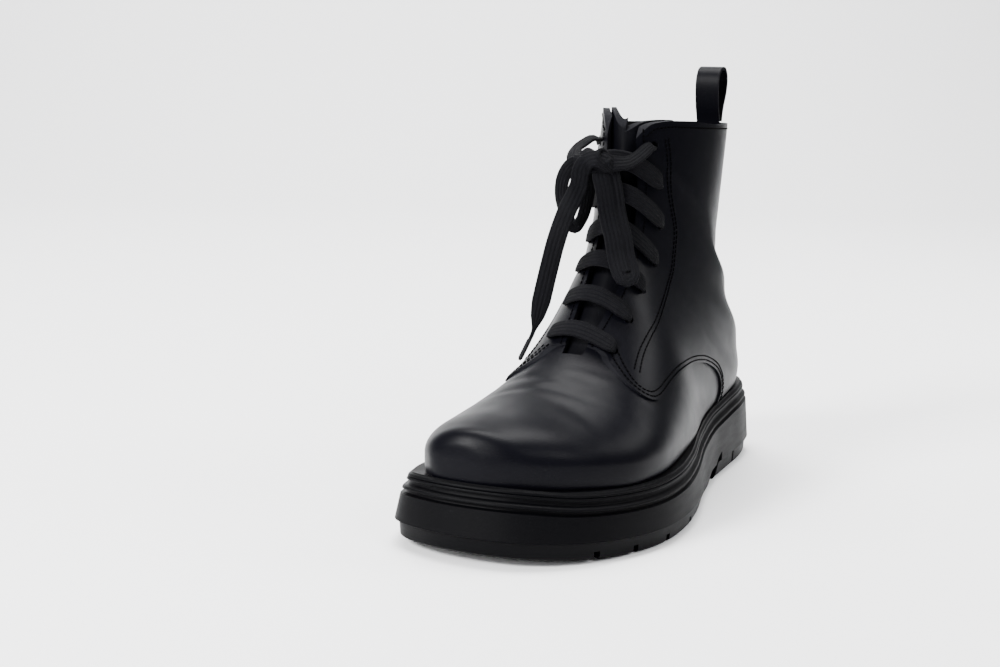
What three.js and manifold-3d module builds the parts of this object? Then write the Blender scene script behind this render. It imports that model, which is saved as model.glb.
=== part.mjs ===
// Combat boot for the left foot: moulded sole, hollow upper, tongue, insole, pull loop and flat lace.
// Millimetres. +Z is up, the toe points to -Y, and +X is the outer side of the foot.

import * as THREE from 'three';
import { mergeVertices } from 'three/addons/utils/BufferGeometryUtils.js';
import Module from 'manifold-3d';

const wasm = await Module();
wasm.setup();

// Driving dimensions
const SOLE_LENGTH = 313;          // toe to heel over the rubber
const SOLE_WIDTH = 128;           // over the ball, main wall to main wall
const HEEL_HEIGHT = 45;           // floor to the foot bed at the back
const COLLAR_HEIGHT = 204;        // floor to the top edge at the back
const TOE_SPRING = 4.5;           // how far the toe's end is off the floor

// Walls and clearances
const WALL = 2.4;                 // upper leather with its lining
const QUARTER_STEP = 1.3;         // how far the quarters stand out from the vamp
const SEAT_GAP = 0.15;            // between the sole and what stands on it

// Resolution
const SECTIONS = 38;              // along the upper
const AROUND = 42;                // round each section
const LINING_SHARE = 0.68;        // of those, on the inside of the wall
const RIM = 74;                   // round the sole

// Outline of the main wall seen from above, from the middle of the heel's back round the outer side to the
// toe and back along the inner side. along: share of SOLE_LENGTH from the centre, back is positive.
// across: share of SOLE_WIDTH, outer side is positive.
const OUTLINE = [
  // along, across
  [0.5, 0.0],
  [0.485, 0.16],
  [0.435, 0.286],
  [0.36, 0.334],
  [0.27, 0.35],
  [0.17, 0.364],
  [0.06, 0.41],
  [-0.06, 0.482],
  [-0.16, 0.518],
  [-0.25, 0.508],
  [-0.335, 0.444],
  [-0.405, 0.35],
  [-0.455, 0.232],
  [-0.487, 0.09],
  [-0.5, -0.12],
  [-0.491, -0.29],
  [-0.463, -0.42],
  [-0.4, -0.492],
  [-0.31, -0.51],
  [-0.2, -0.49],
  [-0.08, -0.43],
  [0.05, -0.355],
  [0.17, -0.328],
  [0.28, -0.338],
  [0.36, -0.322],
  [0.435, -0.276],
  [0.485, -0.156],
];

// Foot bed height along the sole, as a share of HEEL_HEIGHT, and the flare of the side below it
const BED = [
  // along, height, flare
  [-0.5, 0.87, 1.45],
  [-0.42, 0.79, 1.4],
  [-0.32, 0.745, 1.25],
  [-0.2, 0.74, 1.1],
  [-0.08, 0.765, 1.0],
  [0.06, 0.84, 0.95],
  [0.18, 0.91, 0.95],
  [0.34, 0.985, 1.0],
  [0.5, 1.0, 1.0],
];

// Side of the sole. inset: in from the main wall, times the flare. drop: down from the foot bed.
// rise: up from the tread.
const SIDE_LOW = [
  // inset, rise
  [3.2, 0.0],
  [2.0, 1.2],
  [1.6, 8.6],
  [0.0, 9.6],
];
const SIDE_HIGH = [
  // inset, drop
  [1.9, 11.6],
  [3.7, 11.1],
  [3.9, 9.6],
  [2.4, 9.0],
  [2.8, 7.6],
  [4.6, 7.0],
  [5.1, 5.0],
  [4.0, 4.5],
  [4.2, 3.4],
  [4.9, 3.1],
  [4.4, 2.7],
  [4.7, 1.6],
  [5.6, 1.2],
  [6.2, -4.0],
];

const BED_STEPS = 40;             // facets along the foot bed

// Arch under the waist, from the end of the forefoot's tread to the front of the heel.
// up: share of HEEL_HEIGHT.
const ARCH = [
  // along, up
  [0.102, -0.2],
  [0.102, 0.0],
  [0.125, 0.09],
  [0.155, 0.2],
  [0.18, 0.28],
  [0.205, 0.32],
  [0.196, 0.19],
  [0.18, 0.06],
  [0.168, 0.0],
  [0.168, -0.2],
];

// Tread
const SIDE_NOTCHES = [-0.392, -0.318, -0.232, -0.122];   // shares of SOLE_LENGTH, on both sides
const NOTCH_WIDTH = 3.4;
const NOTCH_HEIGHT = 4.2;
const NOTCH_REACH = 15;           // inwards from the main wall
const HEEL_NOTCH = 0.295;         // share of SOLE_LENGTH
const HEEL_NOTCH_HEIGHT = 8;
const LUG_GAP = 7;
const LUG_DEPTH = 4;
const LUG_ANGLE = 0.35;
const LUG_GROOVES = [
  // along, across
  [-0.42, 0.2],
  [-0.345, 0.26],
  [-0.27, 0.28],
  [-0.19, 0.28],
  [-0.1, 0.25],
  [-0.02, 0.22],
  [0.25, 0.2],
  [0.33, 0.2],
  [0.41, 0.17],
];

// Edge of the quarters over the vamp, seen from the side: down the front from the throat, along the vamp's
// wing and down behind it. y: share of SOLE_LENGTH, z: share of COLLAR_HEIGHT.
const QUARTER_EDGE = [
  // y, z
  [-0.3, 0.69],
  [-0.191, 0.453],
  [-0.2, 0.426],
  [-0.208, 0.391],
  [-0.206, 0.364],
  [-0.195, 0.346],
  [-0.179, 0.338],
  [-0.153, 0.341],
  [-0.107, 0.358],
  [-0.06, 0.37],
  [0.015, 0.369],
  [0.092, 0.358],
  [0.147, 0.341],
  [0.212, 0.3],
  [0.235, 0.264],
  [0.238, 0.233],
  [0.221, 0.208],
  [0.2, 0.18],
  [0.2, 0.0],
];

// Top edge of the shaft seen from the side, with the inner side's rise over the outer side
const COLLAR_LINE = [
  // y, z, rise
  [-0.5, 0.85, 0.0],
  [-0.04, 0.94, 0.01],
  [-0.028, 0.972, 0.012],
  [-0.018, 0.995, 0.018],
  [-0.004, 1.013, 0.024],
  [0.025, 1.02, 0.03],
  [0.07, 1.018, 0.018],
  [0.12, 1.014, 0.0],
  [0.37, 1.0, 0.0],
  [0.5, 0.994, 0.0],
];

const COLLAR_SPLIT = 0.05;        // where the rise starts, share of SOLE_WIDTH

// Throat and eyelets
const THROAT_START = 8.05;        // place on the front line
const THROAT_STEPS = 24;
const THROAT_WIDTH = 20;
const THROAT_TAPER = 0.25;        // share of the width lost at the collar
const EYELET_ROWS = 7;
const EYELET_SPREAD = 37;         // from the outer to the inner row, at the vamp
const EYELET_TAPER = 0.2;         // share of it lost at the collar
const EYELET_BORE = 5.2;
const FIRST_ROW = 8.6;            // places on the front line
const LAST_ROW = 18.3;

// Tongue and insole
const TONGUE_START = 7.6;         // place on the front line
const TONGUE_WIDTH = 46;
const TONGUE_THICKNESS = 2.6;
const TONGUE_GAP = 1;
const TONGUE_OVER = 2;            // above the collar
const INSOLE_THICKNESS = 3;
const INSOLE_GAP = 0.8;

// Pull loop
const LOOP_X = 0.128;             // its middle, share of SOLE_WIDTH
const LOOP_WIDTH = 14;
const LOOP_THICKNESS = 1.8;
const LOOP_GAP = 0.5;             // between its two layers
const LOOP_SEAT = 3.2;            // from the shaft's lining, at its middle
const LOOP_CLEAR = 0.7;           // least gap to the lining and over the collar
const LOOP_HEIGHT = 32;
const LOOP_DEPTH = 15;
const LOOP_TAIL = 20;

// Flat lace
const LACE_WIDTH = 8.4;
const LACE_THICKNESS = 1.7;
const LACE_RISE = 1;
const LACE_GAP = 0.6;             // above the quarters
const LACE_BAR = [
  // share of the way, height, width
  [-0.01, -3.4, 0.36],
  [-0.005, -1.8, 0.38],
  [0.01, 0.2, 0.62],
  [0.06, 0.9, 0.9],
  [0.2, 1.0, 1.0],
  [0.4, 1.3, 1.0],
  [0.6, 1.3, 1.0],
  [0.8, 1.0, 1.0],
  [0.94, 0.9, 0.9],
  [0.99, 0.2, 0.62],
  [1.005, -1.8, 0.38],
  [1.01, -3.4, 0.36],
];

// Free lace: points along the middle of each run, loop and end. The knot is the thickest.
const LACE_TUBE = 3.4;
const KNOT_TUBE = 9;
const LOOP_TUBE = 6;
const TUBE_SIDES = 8;
const TUBE_STEP = 2;              // diameters
const LACE_ROUTES = [
  ['lace_knot', KNOT_TUBE, [[-14, -23, 187], [-9, -24, 187], [-2, -24, 186.5], [5, -23, 185.5]]],
  ['lace_run_outer', LACE_TUBE, [[20.5, -5.5, 195], [18, -10, 191.5], [15.5, -14, 188.5], [12.5, -18, 186.5],
    [7.5, -21.5, 185.5]]],
  ['lace_run_inner', LACE_TUBE, [[-14.5, -4, 198], [-17, -7, 196], [-19.5, -11, 193], [-19.5, -16, 190],
    [-15.4, -22.3, 187.8]]],
  ['lace_end', LACE_TUBE, [[-9.5, -25, 182.4], [-11, -28.5, 173], [-14, -37.5, 159], [-16, -44, 145.5],
    [-18, -48.5, 130], [-20, -53.5, 112], [-22, -58, 97], [-23.5, -62.5, 90.5], [-25, -67, 84]]],
  ['lace_loop_inner', LACE_TUBE, [[-16.5, -25.5, 184.5], [-20, -28, 178], [-21.5, -27, 168], [-21, -20, 156],
    [-18, -17, 150], [-14, -17, 154], [-11, -17, 163], [-9, -19, 173], [-6.5, -22, 181.5]]],
  ['lace_loop_outer', LOOP_TUBE, [[2, -23.5, 180], [3.5, -22.5, 173], [5.5, -22.5, 162], [9, -26, 154.5],
    [12, -28, 147.5], [15, -30, 138], [20, -35, 130]]],
];

// Sections of the upper. Each lies in a plane through a point on the front line, from toe to collar, and a
// point on the lower and back line, from toe over the heel to the collar. y: share of SOLE_LENGTH.
// z: share of COLLAR_HEIGHT. x, outer, inner: share of SOLE_WIDTH. wide: where the section is widest,
// from the low end. top and low: how square the ends are, 2 is round.
const UPPER = [
  // frontY, frontZ, frontX, backY, backZ, backX, outer, inner, wide, top, low
  [-0.4705, 0.255, -0.13, -0.4705, 0.225, -0.13, -0.08, -0.185, 0.5, 2.0, 2.0],
  [-0.466, 0.28, -0.13, -0.466, 0.17, -0.13, -0.012, -0.25, 0.55, 2.0, 2.2],
  [-0.453, 0.306, -0.125, -0.453, 0.13, -0.125, 0.075, -0.295, 0.6, 1.9, 2.5],
  [-0.429, 0.317, -0.115, -0.429, 0.115, -0.11, 0.168, -0.342, 0.57, 1.88, 3.0],
  [-0.394, 0.328, -0.1, -0.394, 0.11, -0.09, 0.264, -0.379, 0.54, 1.86, 3.2],
  [-0.346, 0.339, -0.075, -0.346, 0.105, -0.06, 0.352, -0.401, 0.5, 1.83, 3.4],
  [-0.295, 0.36, -0.05, -0.293, 0.1, -0.03, 0.418, -0.404, 0.45, 1.8, 3.4],
  [-0.25, 0.392, 0.0, -0.23, 0.1, 0.0, 0.45, -0.39, 0.4, 1.8, 3.4],
  [-0.208, 0.437, 0.028, -0.165, 0.1, 0.015, 0.453, -0.365, 0.35, 1.75, 3.4],
  [-0.166, 0.505, 0.042, -0.07, 0.105, 0.02, 0.43, -0.338, 0.31, 1.7, 3.4],
  [-0.122, 0.584, 0.05, 0.04, 0.11, 0.015, 0.392, -0.305, 0.29, 1.75, 3.4],
  [-0.083, 0.664, 0.05, 0.155, 0.125, 0.01, 0.335, -0.287, 0.28, 1.8, 3.6],
  [-0.059, 0.73, 0.05, 0.275, 0.14, 0.005, 0.305, -0.268, 0.28, 1.8, 3.8],
  [-0.047, 0.789, 0.048, 0.375, 0.15, 0.002, 0.292, -0.262, 0.3, 1.85, 3.6],
  [-0.041, 0.838, 0.046, 0.45, 0.185, 0.0, 0.286, -0.252, 0.34, 1.85, 2.7],
  [-0.038, 0.877, 0.044, 0.466, 0.272, 0.005, 0.274, -0.238, 0.39, 1.85, 2.0],
  [-0.036, 0.912, 0.042, 0.444, 0.372, 0.01, 0.26, -0.22, 0.43, 1.85, 1.76],
  [-0.034, 0.946, 0.04, 0.4, 0.468, 0.018, 0.253, -0.202, 0.47, 1.85, 1.7],
  [-0.033, 0.98, 0.038, 0.366, 0.567, 0.026, 0.256, -0.188, 0.5, 1.85, 1.7],
  [-0.033, 1.015, 0.036, 0.366, 0.686, 0.036, 0.26, -0.178, 0.5, 1.83, 1.8],
  [-0.033, 1.05, 0.034, 0.373, 0.82, 0.046, 0.266, -0.17, 0.5, 1.8, 1.84],
  [-0.034, 1.085, 0.033, 0.384, 0.958, 0.052, 0.272, -0.166, 0.5, 1.8, 1.85],
  [-0.036, 1.13, 0.032, 0.39, 1.09, 0.055, 0.275, -0.165, 0.5, 1.8, 1.85],
];

// Smooth value between the rows of a table, at a place counted in rows
function between(table, column, place) {
  const at = (i) => table[Math.min(Math.max(i, 0), table.length - 1)][column];
  const i = Math.min(Math.floor(place), table.length - 2);
  const t = place - i;
  const [a, b, c, d] = [at(i - 1), at(i), at(i + 1), at(i + 2)];
  return b + 0.5 * t * (c - a + t * (2 * a - 5 * b + 4 * c - d + t * (3 * (b - c) + d - a)));
}

// Smooth value of a table whose first column rises
function lookup(table, column, key) {
  const last = table.length - 1;
  const k = Math.min(Math.max(key, table[0][0]), table[last][0]);
  let i = 0;
  while (i < last - 1 && table[i + 1][0] < k) i += 1;
  return between(table, column, i + (k - table[i][0]) / (table[i + 1][0] - table[i][0]));
}

const bed = (y) => HEEL_HEIGHT * lookup(BED, 1, y / SOLE_LENGTH);
const flare = (y) => lookup(BED, 2, y / SOLE_LENGTH);
const SPRING_START = -0.24 * SOLE_LENGTH;
const tread = (y) => TOE_SPRING * (Math.min(0, y - SPRING_START) / (SPRING_START + SOLE_LENGTH / 2)) ** 2;

// Points of the sole's outline with their outward directions
function soleRim() {
  const points = OUTLINE.map(([a, c]) => new THREE.Vector3(c * SOLE_WIDTH, a * SOLE_LENGTH, 0));
  const curve = new THREE.CatmullRomCurve3(points, true, 'centripetal');
  return Array.from({ length: RIM }, (_, i) => {
    const p = curve.getPointAt(i / RIM);
    const t = curve.getTangentAt(i / RIM);
    return { x: p.x, y: p.y, nx: -t.y, ny: t.x };
  }).map((r) => (r.nx * r.x + r.ny * r.y < 0 ? { ...r, nx: -r.nx, ny: -r.ny } : r));
}

// Mesh from closed rings of equal count, each end closed
function skin(rings, closeEnds = fanEnds) {
  const n = rings[0].length;
  const points = rings.flat();
  const faces = [];
  for (let i = 0; i + 1 < rings.length; i += 1) {
    for (let j = 0; j < n; j += 1) {
      const a = i * n + j;
      const b = i * n + ((j + 1) % n);
      faces.push([a, b, b + n], [a, b + n, a + n]);
    }
  }
  closeEnds(rings, points, faces);
  return toManifold(points, faces);
}

function fanEnds(rings, points, faces) {
  const n = rings[0].length;
  [0, rings.length - 1].forEach((row, end) => {
    const centre = rings[row].reduce((s, p) => [s[0] + p[0] / n, s[1] + p[1] / n, s[2] + p[2] / n], [0, 0, 0]);
    points.push(centre);
    for (let j = 0; j < n; j += 1) {
      const a = row * n + j;
      const b = row * n + ((j + 1) % n);
      faces.push(end ? [a, b, points.length - 1] : [b, a, points.length - 1]);
    }
  });
}

// Closes a ring that runs round a long shape with strips from side to side
function stripEnds(rings, points, faces) {
  const n = rings[0].length;
  [0, rings.length - 1].forEach((row, end) => {
    const at = (j) => row * n + ((j + n) % n);
    for (let j = 0; j < n / 2; j += 1) {
      const quad = [at(j), at(j + 1), at(n - j - 1), at(n - j)];
      const pair = [[quad[0], quad[1], quad[2]], [quad[0], quad[2], quad[3]]];
      pair.filter((f) => new Set(f).size === 3).forEach((f) => faces.push(end ? f : f.reverse()));
    }
  });
}

function toManifold(points, faces) {
  const mesh = new wasm.Mesh({
    numProp: 3,
    vertProperties: Float32Array.from(points.flat()),
    triVerts: Uint32Array.from(faces.flat()),
  });
  const solid = new wasm.Manifold(mesh);
  if (solid.volume() > 0) return solid;
  return new wasm.Manifold(new wasm.Mesh({
    numProp: 3,
    vertProperties: Float32Array.from(points.flat()),
    triVerts: Uint32Array.from(faces.map((f) => [f[0], f[2], f[1]]).flat()),
  }));
}

function fromGeometry(geometry) {
  geometry.deleteAttribute('normal');
  geometry.deleteAttribute('uv');
  const merged = mergeVertices(geometry, 1e-4);
  return new wasm.Manifold(new wasm.Mesh({
    numProp: 3,
    vertProperties: merged.attributes.position.array,
    triVerts: Uint32Array.from(merged.index.array),
  }));
}

function toMesh(name, solid, colour, roughness) {
  const { vertProperties, triVerts } = solid.getMesh();
  const geometry = new THREE.BufferGeometry();
  geometry.setAttribute('position', new THREE.BufferAttribute(new Float32Array(vertProperties), 3));
  geometry.setIndex(new THREE.BufferAttribute(new Uint32Array(triVerts), 1));
  geometry.computeVertexNormals();
  const material = new THREE.MeshStandardMaterial({ color: colour, roughness, metalness: 0 });
  const mesh = new THREE.Mesh(geometry, material);
  mesh.name = name;
  return mesh;
}

// Solid between x0 and x1 whose side view is a closed list of [y, z] points
function sideBlock(profile, x0, x1) {
  const shape = new THREE.Shape(profile.map(([y, z]) => new THREE.Vector2(y, z)));
  const geometry = new THREE.ExtrudeGeometry(shape, { depth: x1 - x0, bevelEnabled: false });
  geometry.applyMatrix4(new THREE.Matrix4().makeBasis(
    new THREE.Vector3(0, 1, 0), new THREE.Vector3(0, 0, 1), new THREE.Vector3(1, 0, 0)));
  geometry.translate(x0, 0, 0);
  return fromGeometry(geometry);
}

// Point on the upper's own form. place counts rows of the table, turn runs from the front line over the
// outer side to the back line and on over the inner side.
function upperPoint(place, turn) {
  const v = (column) => between(UPPER, column, place);
  const s = Math.sin(turn);
  const c = Math.cos(turn);
  const wide = v(8);
  const square = c > 0 ? v(9) : v(10);
  const height = wide + (c > 0 ? 1 - wide : wide) * Math.sign(c) * Math.abs(c) ** (2 / square);
  const middle = v(5) + (v(2) - v(5)) * height;
  const edge = s > 0 ? v(6) : v(7);
  const x = middle + (edge - middle) * Math.abs(s) ** (2 / square);
  return new THREE.Vector3(
    x * SOLE_WIDTH,
    (v(3) + (v(0) - v(3)) * height) * SOLE_LENGTH,
    (v(4) + (v(1) - v(4)) * height) * COLLAR_HEIGHT,
  );
}

function upperOffset(place, turn, out) {
  const p = upperPoint(place, turn);
  const e = 0.02;
  const along = upperPoint(Math.min(place + e, UPPER.length - 1), turn).sub(upperPoint(Math.max(place - e, 0), turn));
  const round = upperPoint(place, turn + e).sub(upperPoint(place, turn - e));
  return p.addScaledVector(along.cross(round).normalize(), -out);
}

function upperForm(out, share = 1) {
  const sections = Math.round(SECTIONS * share);
  const around = Math.round(AROUND * share);
  const rings = Array.from({ length: sections + 1 }, (_, i) => {
    const place = (UPPER.length - 1) * i / sections;
    return Array.from({ length: around }, (_, j) => upperOffset(place, 2 * Math.PI * j / around, out).toArray());
  });
  return skin(rings);
}

// Everything from the foot bed down to the depth given, the top a gap above the bed
function underBed(gap, depth = SOLE_LENGTH) {
  const steps = Array.from({ length: BED_STEPS + 1 }, (_, i) => SOLE_LENGTH * (0.5 - i / BED_STEPS));
  const floor = (y) => (depth < SOLE_LENGTH ? bed(y) + gap - depth : -depth);
  return sideBlock([
    ...steps.map((y) => [y, bed(y) + gap]),
    ...steps.reverse().map((y) => [y, floor(y)]),
  ], -SOLE_WIDTH, SOLE_WIDTH);
}

// Box cut into the tread, running inwards from a point by a length at an angle from the X axis
function groove(x, y, angle, length, width, depth) {
  const geometry = new THREE.BoxGeometry(length, width, 2 * depth);
  geometry.rotateZ(angle);
  geometry.translate(x, y, tread(y));
  return fromGeometry(geometry);
}

function treadCuts(rim) {
  const cuts = [];
  SIDE_NOTCHES.forEach((along) => {
    [1, -1].forEach((side) => {
      const y = along * SOLE_LENGTH;
      const near = rim.filter((r) => r.x * side > 0)
        .reduce((a, b) => (Math.abs(a.y - y) < Math.abs(b.y - y) ? a : b));
      cuts.push(groove(near.x, y, Math.atan2(near.ny, near.nx), 2 * NOTCH_REACH, NOTCH_WIDTH, NOTCH_HEIGHT));
    });
  });
  LUG_GROOVES.forEach(([along, across]) => {
    [1, -1].forEach((side) => {
      cuts.push(groove(side * across * SOLE_WIDTH / 2, along * SOLE_LENGTH, side * LUG_ANGLE,
        across * SOLE_WIDTH * 1.04, LUG_GAP, LUG_DEPTH));
    });
  });
  const heelY = HEEL_NOTCH * SOLE_LENGTH;
  [1, -1].forEach((side) => {
    cuts.push(groove(side * 0.34 * SOLE_WIDTH, heelY, 0, 2 * NOTCH_REACH, NOTCH_WIDTH, HEEL_NOTCH_HEIGHT));
  });
  return cuts;
}

function buildSole() {
  const rim = soleRim();
  const ring = (inset, height) => rim.map((r) => {
    const y = r.y - r.ny * inset * flare(r.y);
    return [r.x - r.nx * inset * flare(r.y), y, height(r.y)];
  });
  const body = skin([
    ...SIDE_LOW.map(([inset, rise]) => ring(inset, (y) => tread(y) + rise)),
    ...SIDE_HIGH.map(([inset, drop]) => ring(inset, (y) => bed(y) - drop)),
  ], stripEnds).intersect(underBed(0));
  const arch = sideBlock(ARCH.map(([along, up]) => [along * SOLE_LENGTH, up * HEEL_HEIGHT]), -SOLE_WIDTH, SOLE_WIDTH);
  return treadCuts(rim).reduce((solid, cut) => solid.subtract(cut), body.subtract(arch));
}

// Part of the upper that the quarters cover, seen from the side
function quarterBlock() {
  return sideBlock([
    ...QUARTER_EDGE.map(([y, z]) => [y * SOLE_LENGTH, z * COLLAR_HEIGHT]),
    [SOLE_LENGTH, 0],
    [SOLE_LENGTH, 2 * COLLAR_HEIGHT],
    [-0.3 * SOLE_LENGTH, 2 * COLLAR_HEIGHT],
  ], -SOLE_WIDTH, SOLE_WIDTH);
}

function overCollar() {
  const side = (rise, x0, x1) => sideBlock([
    ...COLLAR_LINE.map((row) => [row[0] * SOLE_LENGTH, (row[1] + rise * row[2]) * COLLAR_HEIGHT]),
    [SOLE_LENGTH, 2 * COLLAR_HEIGHT],
    [-SOLE_LENGTH, 2 * COLLAR_HEIGHT],
  ], x0, x1);
  return side(0, COLLAR_SPLIT * SOLE_WIDTH, SOLE_WIDTH).add(side(1, -SOLE_WIDTH, SOLE_WIDTH));
}

// Slot between the facings, from the vamp to the collar
function throatSlot() {
  const top = UPPER.length - 1;
  const depth = 6 * WALL;
  const rings = Array.from({ length: THROAT_STEPS + 1 }, (_, i) => {
    const share = i / THROAT_STEPS;
    const place = THROAT_START + (top - THROAT_START) * share;
    const half = THROAT_WIDTH / 2 * Math.min(1, 0.55 + 3 * share) * (1 - THROAT_TAPER * share);
    const middle = upperOffset(place, 0, 0);
    const out = upperOffset(place, 0, 1).sub(middle);
    const high = middle.clone().addScaledVector(out, depth);
    const low = middle.clone().addScaledVector(out, -2 * depth);
    return [[half, high], [-half, high], [-half, low], [half, low]].map(([x, p]) => [p.x + x, p.y, p.z]);
  });
  return skin(rings);
}

// Turn at which the section through a place is a distance out to the side of the front line
function turnAt(place, across) {
  const middle = upperPoint(place, 0).x;
  let [near, far] = [0, Math.PI / 2];
  for (let k = 0; k < 30; k += 1) {
    const turn = (near + far) / 2;
    if (Math.abs(upperPoint(place, Math.sign(across) * turn).x - middle) < Math.abs(across)) near = turn;
    else far = turn;
  }
  return Math.sign(across) * near;
}

// Both rows of eyelets, evenly spaced along the facings
function eyeletPlaces() {
  const spread = (place) => EYELET_SPREAD * (1 - EYELET_TAPER * (place - FIRST_ROW) / (LAST_ROW - FIRST_ROW));
  const samples = 80;
  const line = Array.from({ length: samples + 1 }, (_, i) => {
    const place = FIRST_ROW + (LAST_ROW - FIRST_ROW) * i / samples;
    return { place, at: upperPoint(place, turnAt(place, spread(place) / 2)) };
  });
  const length = [0];
  for (let i = 1; i <= samples; i += 1) length.push(length[i - 1] + line[i].at.distanceTo(line[i - 1].at));
  return Array.from({ length: EYELET_ROWS }, (_, row) => {
    const target = length[samples] * row / (EYELET_ROWS - 1);
    const i = Math.min(Math.max(length.findIndex((l) => l >= target), 1), samples);
    const share = (target - length[i - 1]) / (length[i] - length[i - 1]);
    const place = line[i - 1].place + share * (line[i].place - line[i - 1].place);
    return [1, -1].map((side) => ({ place, turn: turnAt(place, side * spread(place) / 2) }));
  });
}

function eyeletHole({ place, turn }) {
  const inner = upperOffset(place, turn, -3 * WALL);
  const outer = upperOffset(place, turn, 2 * WALL);
  const geometry = new THREE.CylinderGeometry(EYELET_BORE / 2, EYELET_BORE / 2, inner.distanceTo(outer), 10);
  geometry.applyQuaternion(new THREE.Quaternion().setFromUnitVectors(
    new THREE.Vector3(0, 1, 0), outer.clone().sub(inner).normalize()));
  const middle = inner.add(outer).multiplyScalar(0.5);
  geometry.translate(middle.x, middle.y, middle.z);
  return fromGeometry(geometry);
}

function buildUpper() {
  const quarters = upperForm(QUARTER_STEP).intersect(quarterBlock());
  const hollow = upperForm(0).add(quarters)
    .subtract(upperForm(-WALL, LINING_SHARE))
    .subtract(underBed(SEAT_GAP))
    .subtract(overCollar())
    .subtract(throatSlot());
  return eyeletPlaces().flat().reduce((solid, eyelet) => solid.subtract(eyeletHole(eyelet)), hollow);
}

// Sheet that follows the inside of the upper between two places
function innerSheet(start, end, steps, spread, gap, thickness) {
  const across = 8;
  const rings = Array.from({ length: steps + 1 }, (_, i) => {
    const place = start + (end - start) * i / steps;
    const turns = [turnAt(place, spread / 2), turnAt(place, -spread / 2)];
    const row = (out) => Array.from({ length: across + 1 }, (_, j) => {
      const turn = turns[0] + (turns[1] - turns[0]) * j / across;
      return upperOffset(place, turn, out).toArray();
    });
    return [...row(-WALL - gap), ...row(-WALL - gap - thickness).reverse()];
  });
  return skin(rings);
}

function buildTongue() {
  return innerSheet(TONGUE_START, UPPER.length - 1, 22, TONGUE_WIDTH, TONGUE_GAP, TONGUE_THICKNESS)
    .subtract(overCollar().translate([0, 0, TONGUE_OVER]));
}

function buildInsole() {
  return upperForm(-WALL - INSOLE_GAP, LINING_SHARE)
    .intersect(underBed(SEAT_GAP + INSOLE_THICKNESS, INSOLE_THICKNESS));
}

// Strap of even width whose side view is a list of [y, z] points
function strap(points, middleX, width, thickness) {
  const curve = new THREE.CatmullRomCurve3(points.map(([y, z]) => new THREE.Vector3(0, y, z)), false, 'centripetal');
  const steps = 40;
  const rings = Array.from({ length: steps + 1 }, (_, i) => {
    const p = curve.getPointAt(i / steps);
    const t = curve.getTangentAt(i / steps);
    return [[1, 1], [-1, 1], [-1, -1], [1, -1]].map(([a, b]) => [
      middleX + a * width / 2, p.y - b * t.z * thickness / 2, p.z + b * t.y * thickness / 2]);
  });
  return skin(rings);
}

// Value between two ends at which a rising function reaches a target
function reach(from, to, target, value) {
  let [low, high] = [from, to];
  for (let k = 0; k < 30; k += 1) {
    const middle = (low + high) / 2;
    if (value(middle) < target) low = middle;
    else high = middle;
  }
  return low;
}

// Inside face of the shaft's back at a height, at an x near its middle
function shaftBack(x, z) {
  const last = UPPER.length - 1;
  const turnOf = (place) => {
    const side = Math.sign(x - upperPoint(place, Math.PI).x) || 1;
    return Math.PI - side * reach(0, Math.PI / 2, side * x, (t) => side * upperPoint(place, Math.PI - side * t).x);
  };
  const place = reach(last - 6, last, z, (p) => upperOffset(p, turnOf(p), -WALL).z);
  return upperOffset(place, turnOf(place), -WALL).y;
}

function buildPullLoop() {
  const middleX = LOOP_X * SOLE_WIDTH;
  const backAt = (z) => Math.min(...[-0.5, 0, 0.5].map((k) => shaftBack(middleX + k * LOOP_WIDTH, z)))
    - LOOP_SEAT - LOOP_THICKNESS / 2;
  const base = COLLAR_HEIGHT;
  const outer = backAt(base);
  const tail = backAt(base - LOOP_TAIL);
  const pair = LOOP_THICKNESS + LOOP_GAP;
  const inner = outer - pair;
  const bulge = LOOP_DEPTH / 2;
  const middle = (outer + inner) / 2 + 1.5;
  const inShaft = upperForm(-WALL - LOOP_CLEAR, LINING_SHARE);
  return strap([
    [tail - pair, base - LOOP_TAIL],
    [inner, base - 2],
    [inner - 0.5 * bulge, base + 0.35 * LOOP_HEIGHT],
    [middle - bulge, base + 0.78 * LOOP_HEIGHT],
    [middle - 0.55 * bulge, base + 0.97 * LOOP_HEIGHT],
    [middle + 0.45 * bulge, base + LOOP_HEIGHT],
    [middle + bulge, base + 0.85 * LOOP_HEIGHT],
    [middle + 0.9 * bulge, base + 0.6 * LOOP_HEIGHT],
    [outer + 0.25 * bulge, base + 0.25 * LOOP_HEIGHT],
    [outer, base - 2],
    [tail, base - LOOP_TAIL],
  ], middleX, LOOP_WIDTH, LOOP_THICKNESS).intersect(inShaft.add(overCollar().translate([0, 0, LOOP_CLEAR])));
}

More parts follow.
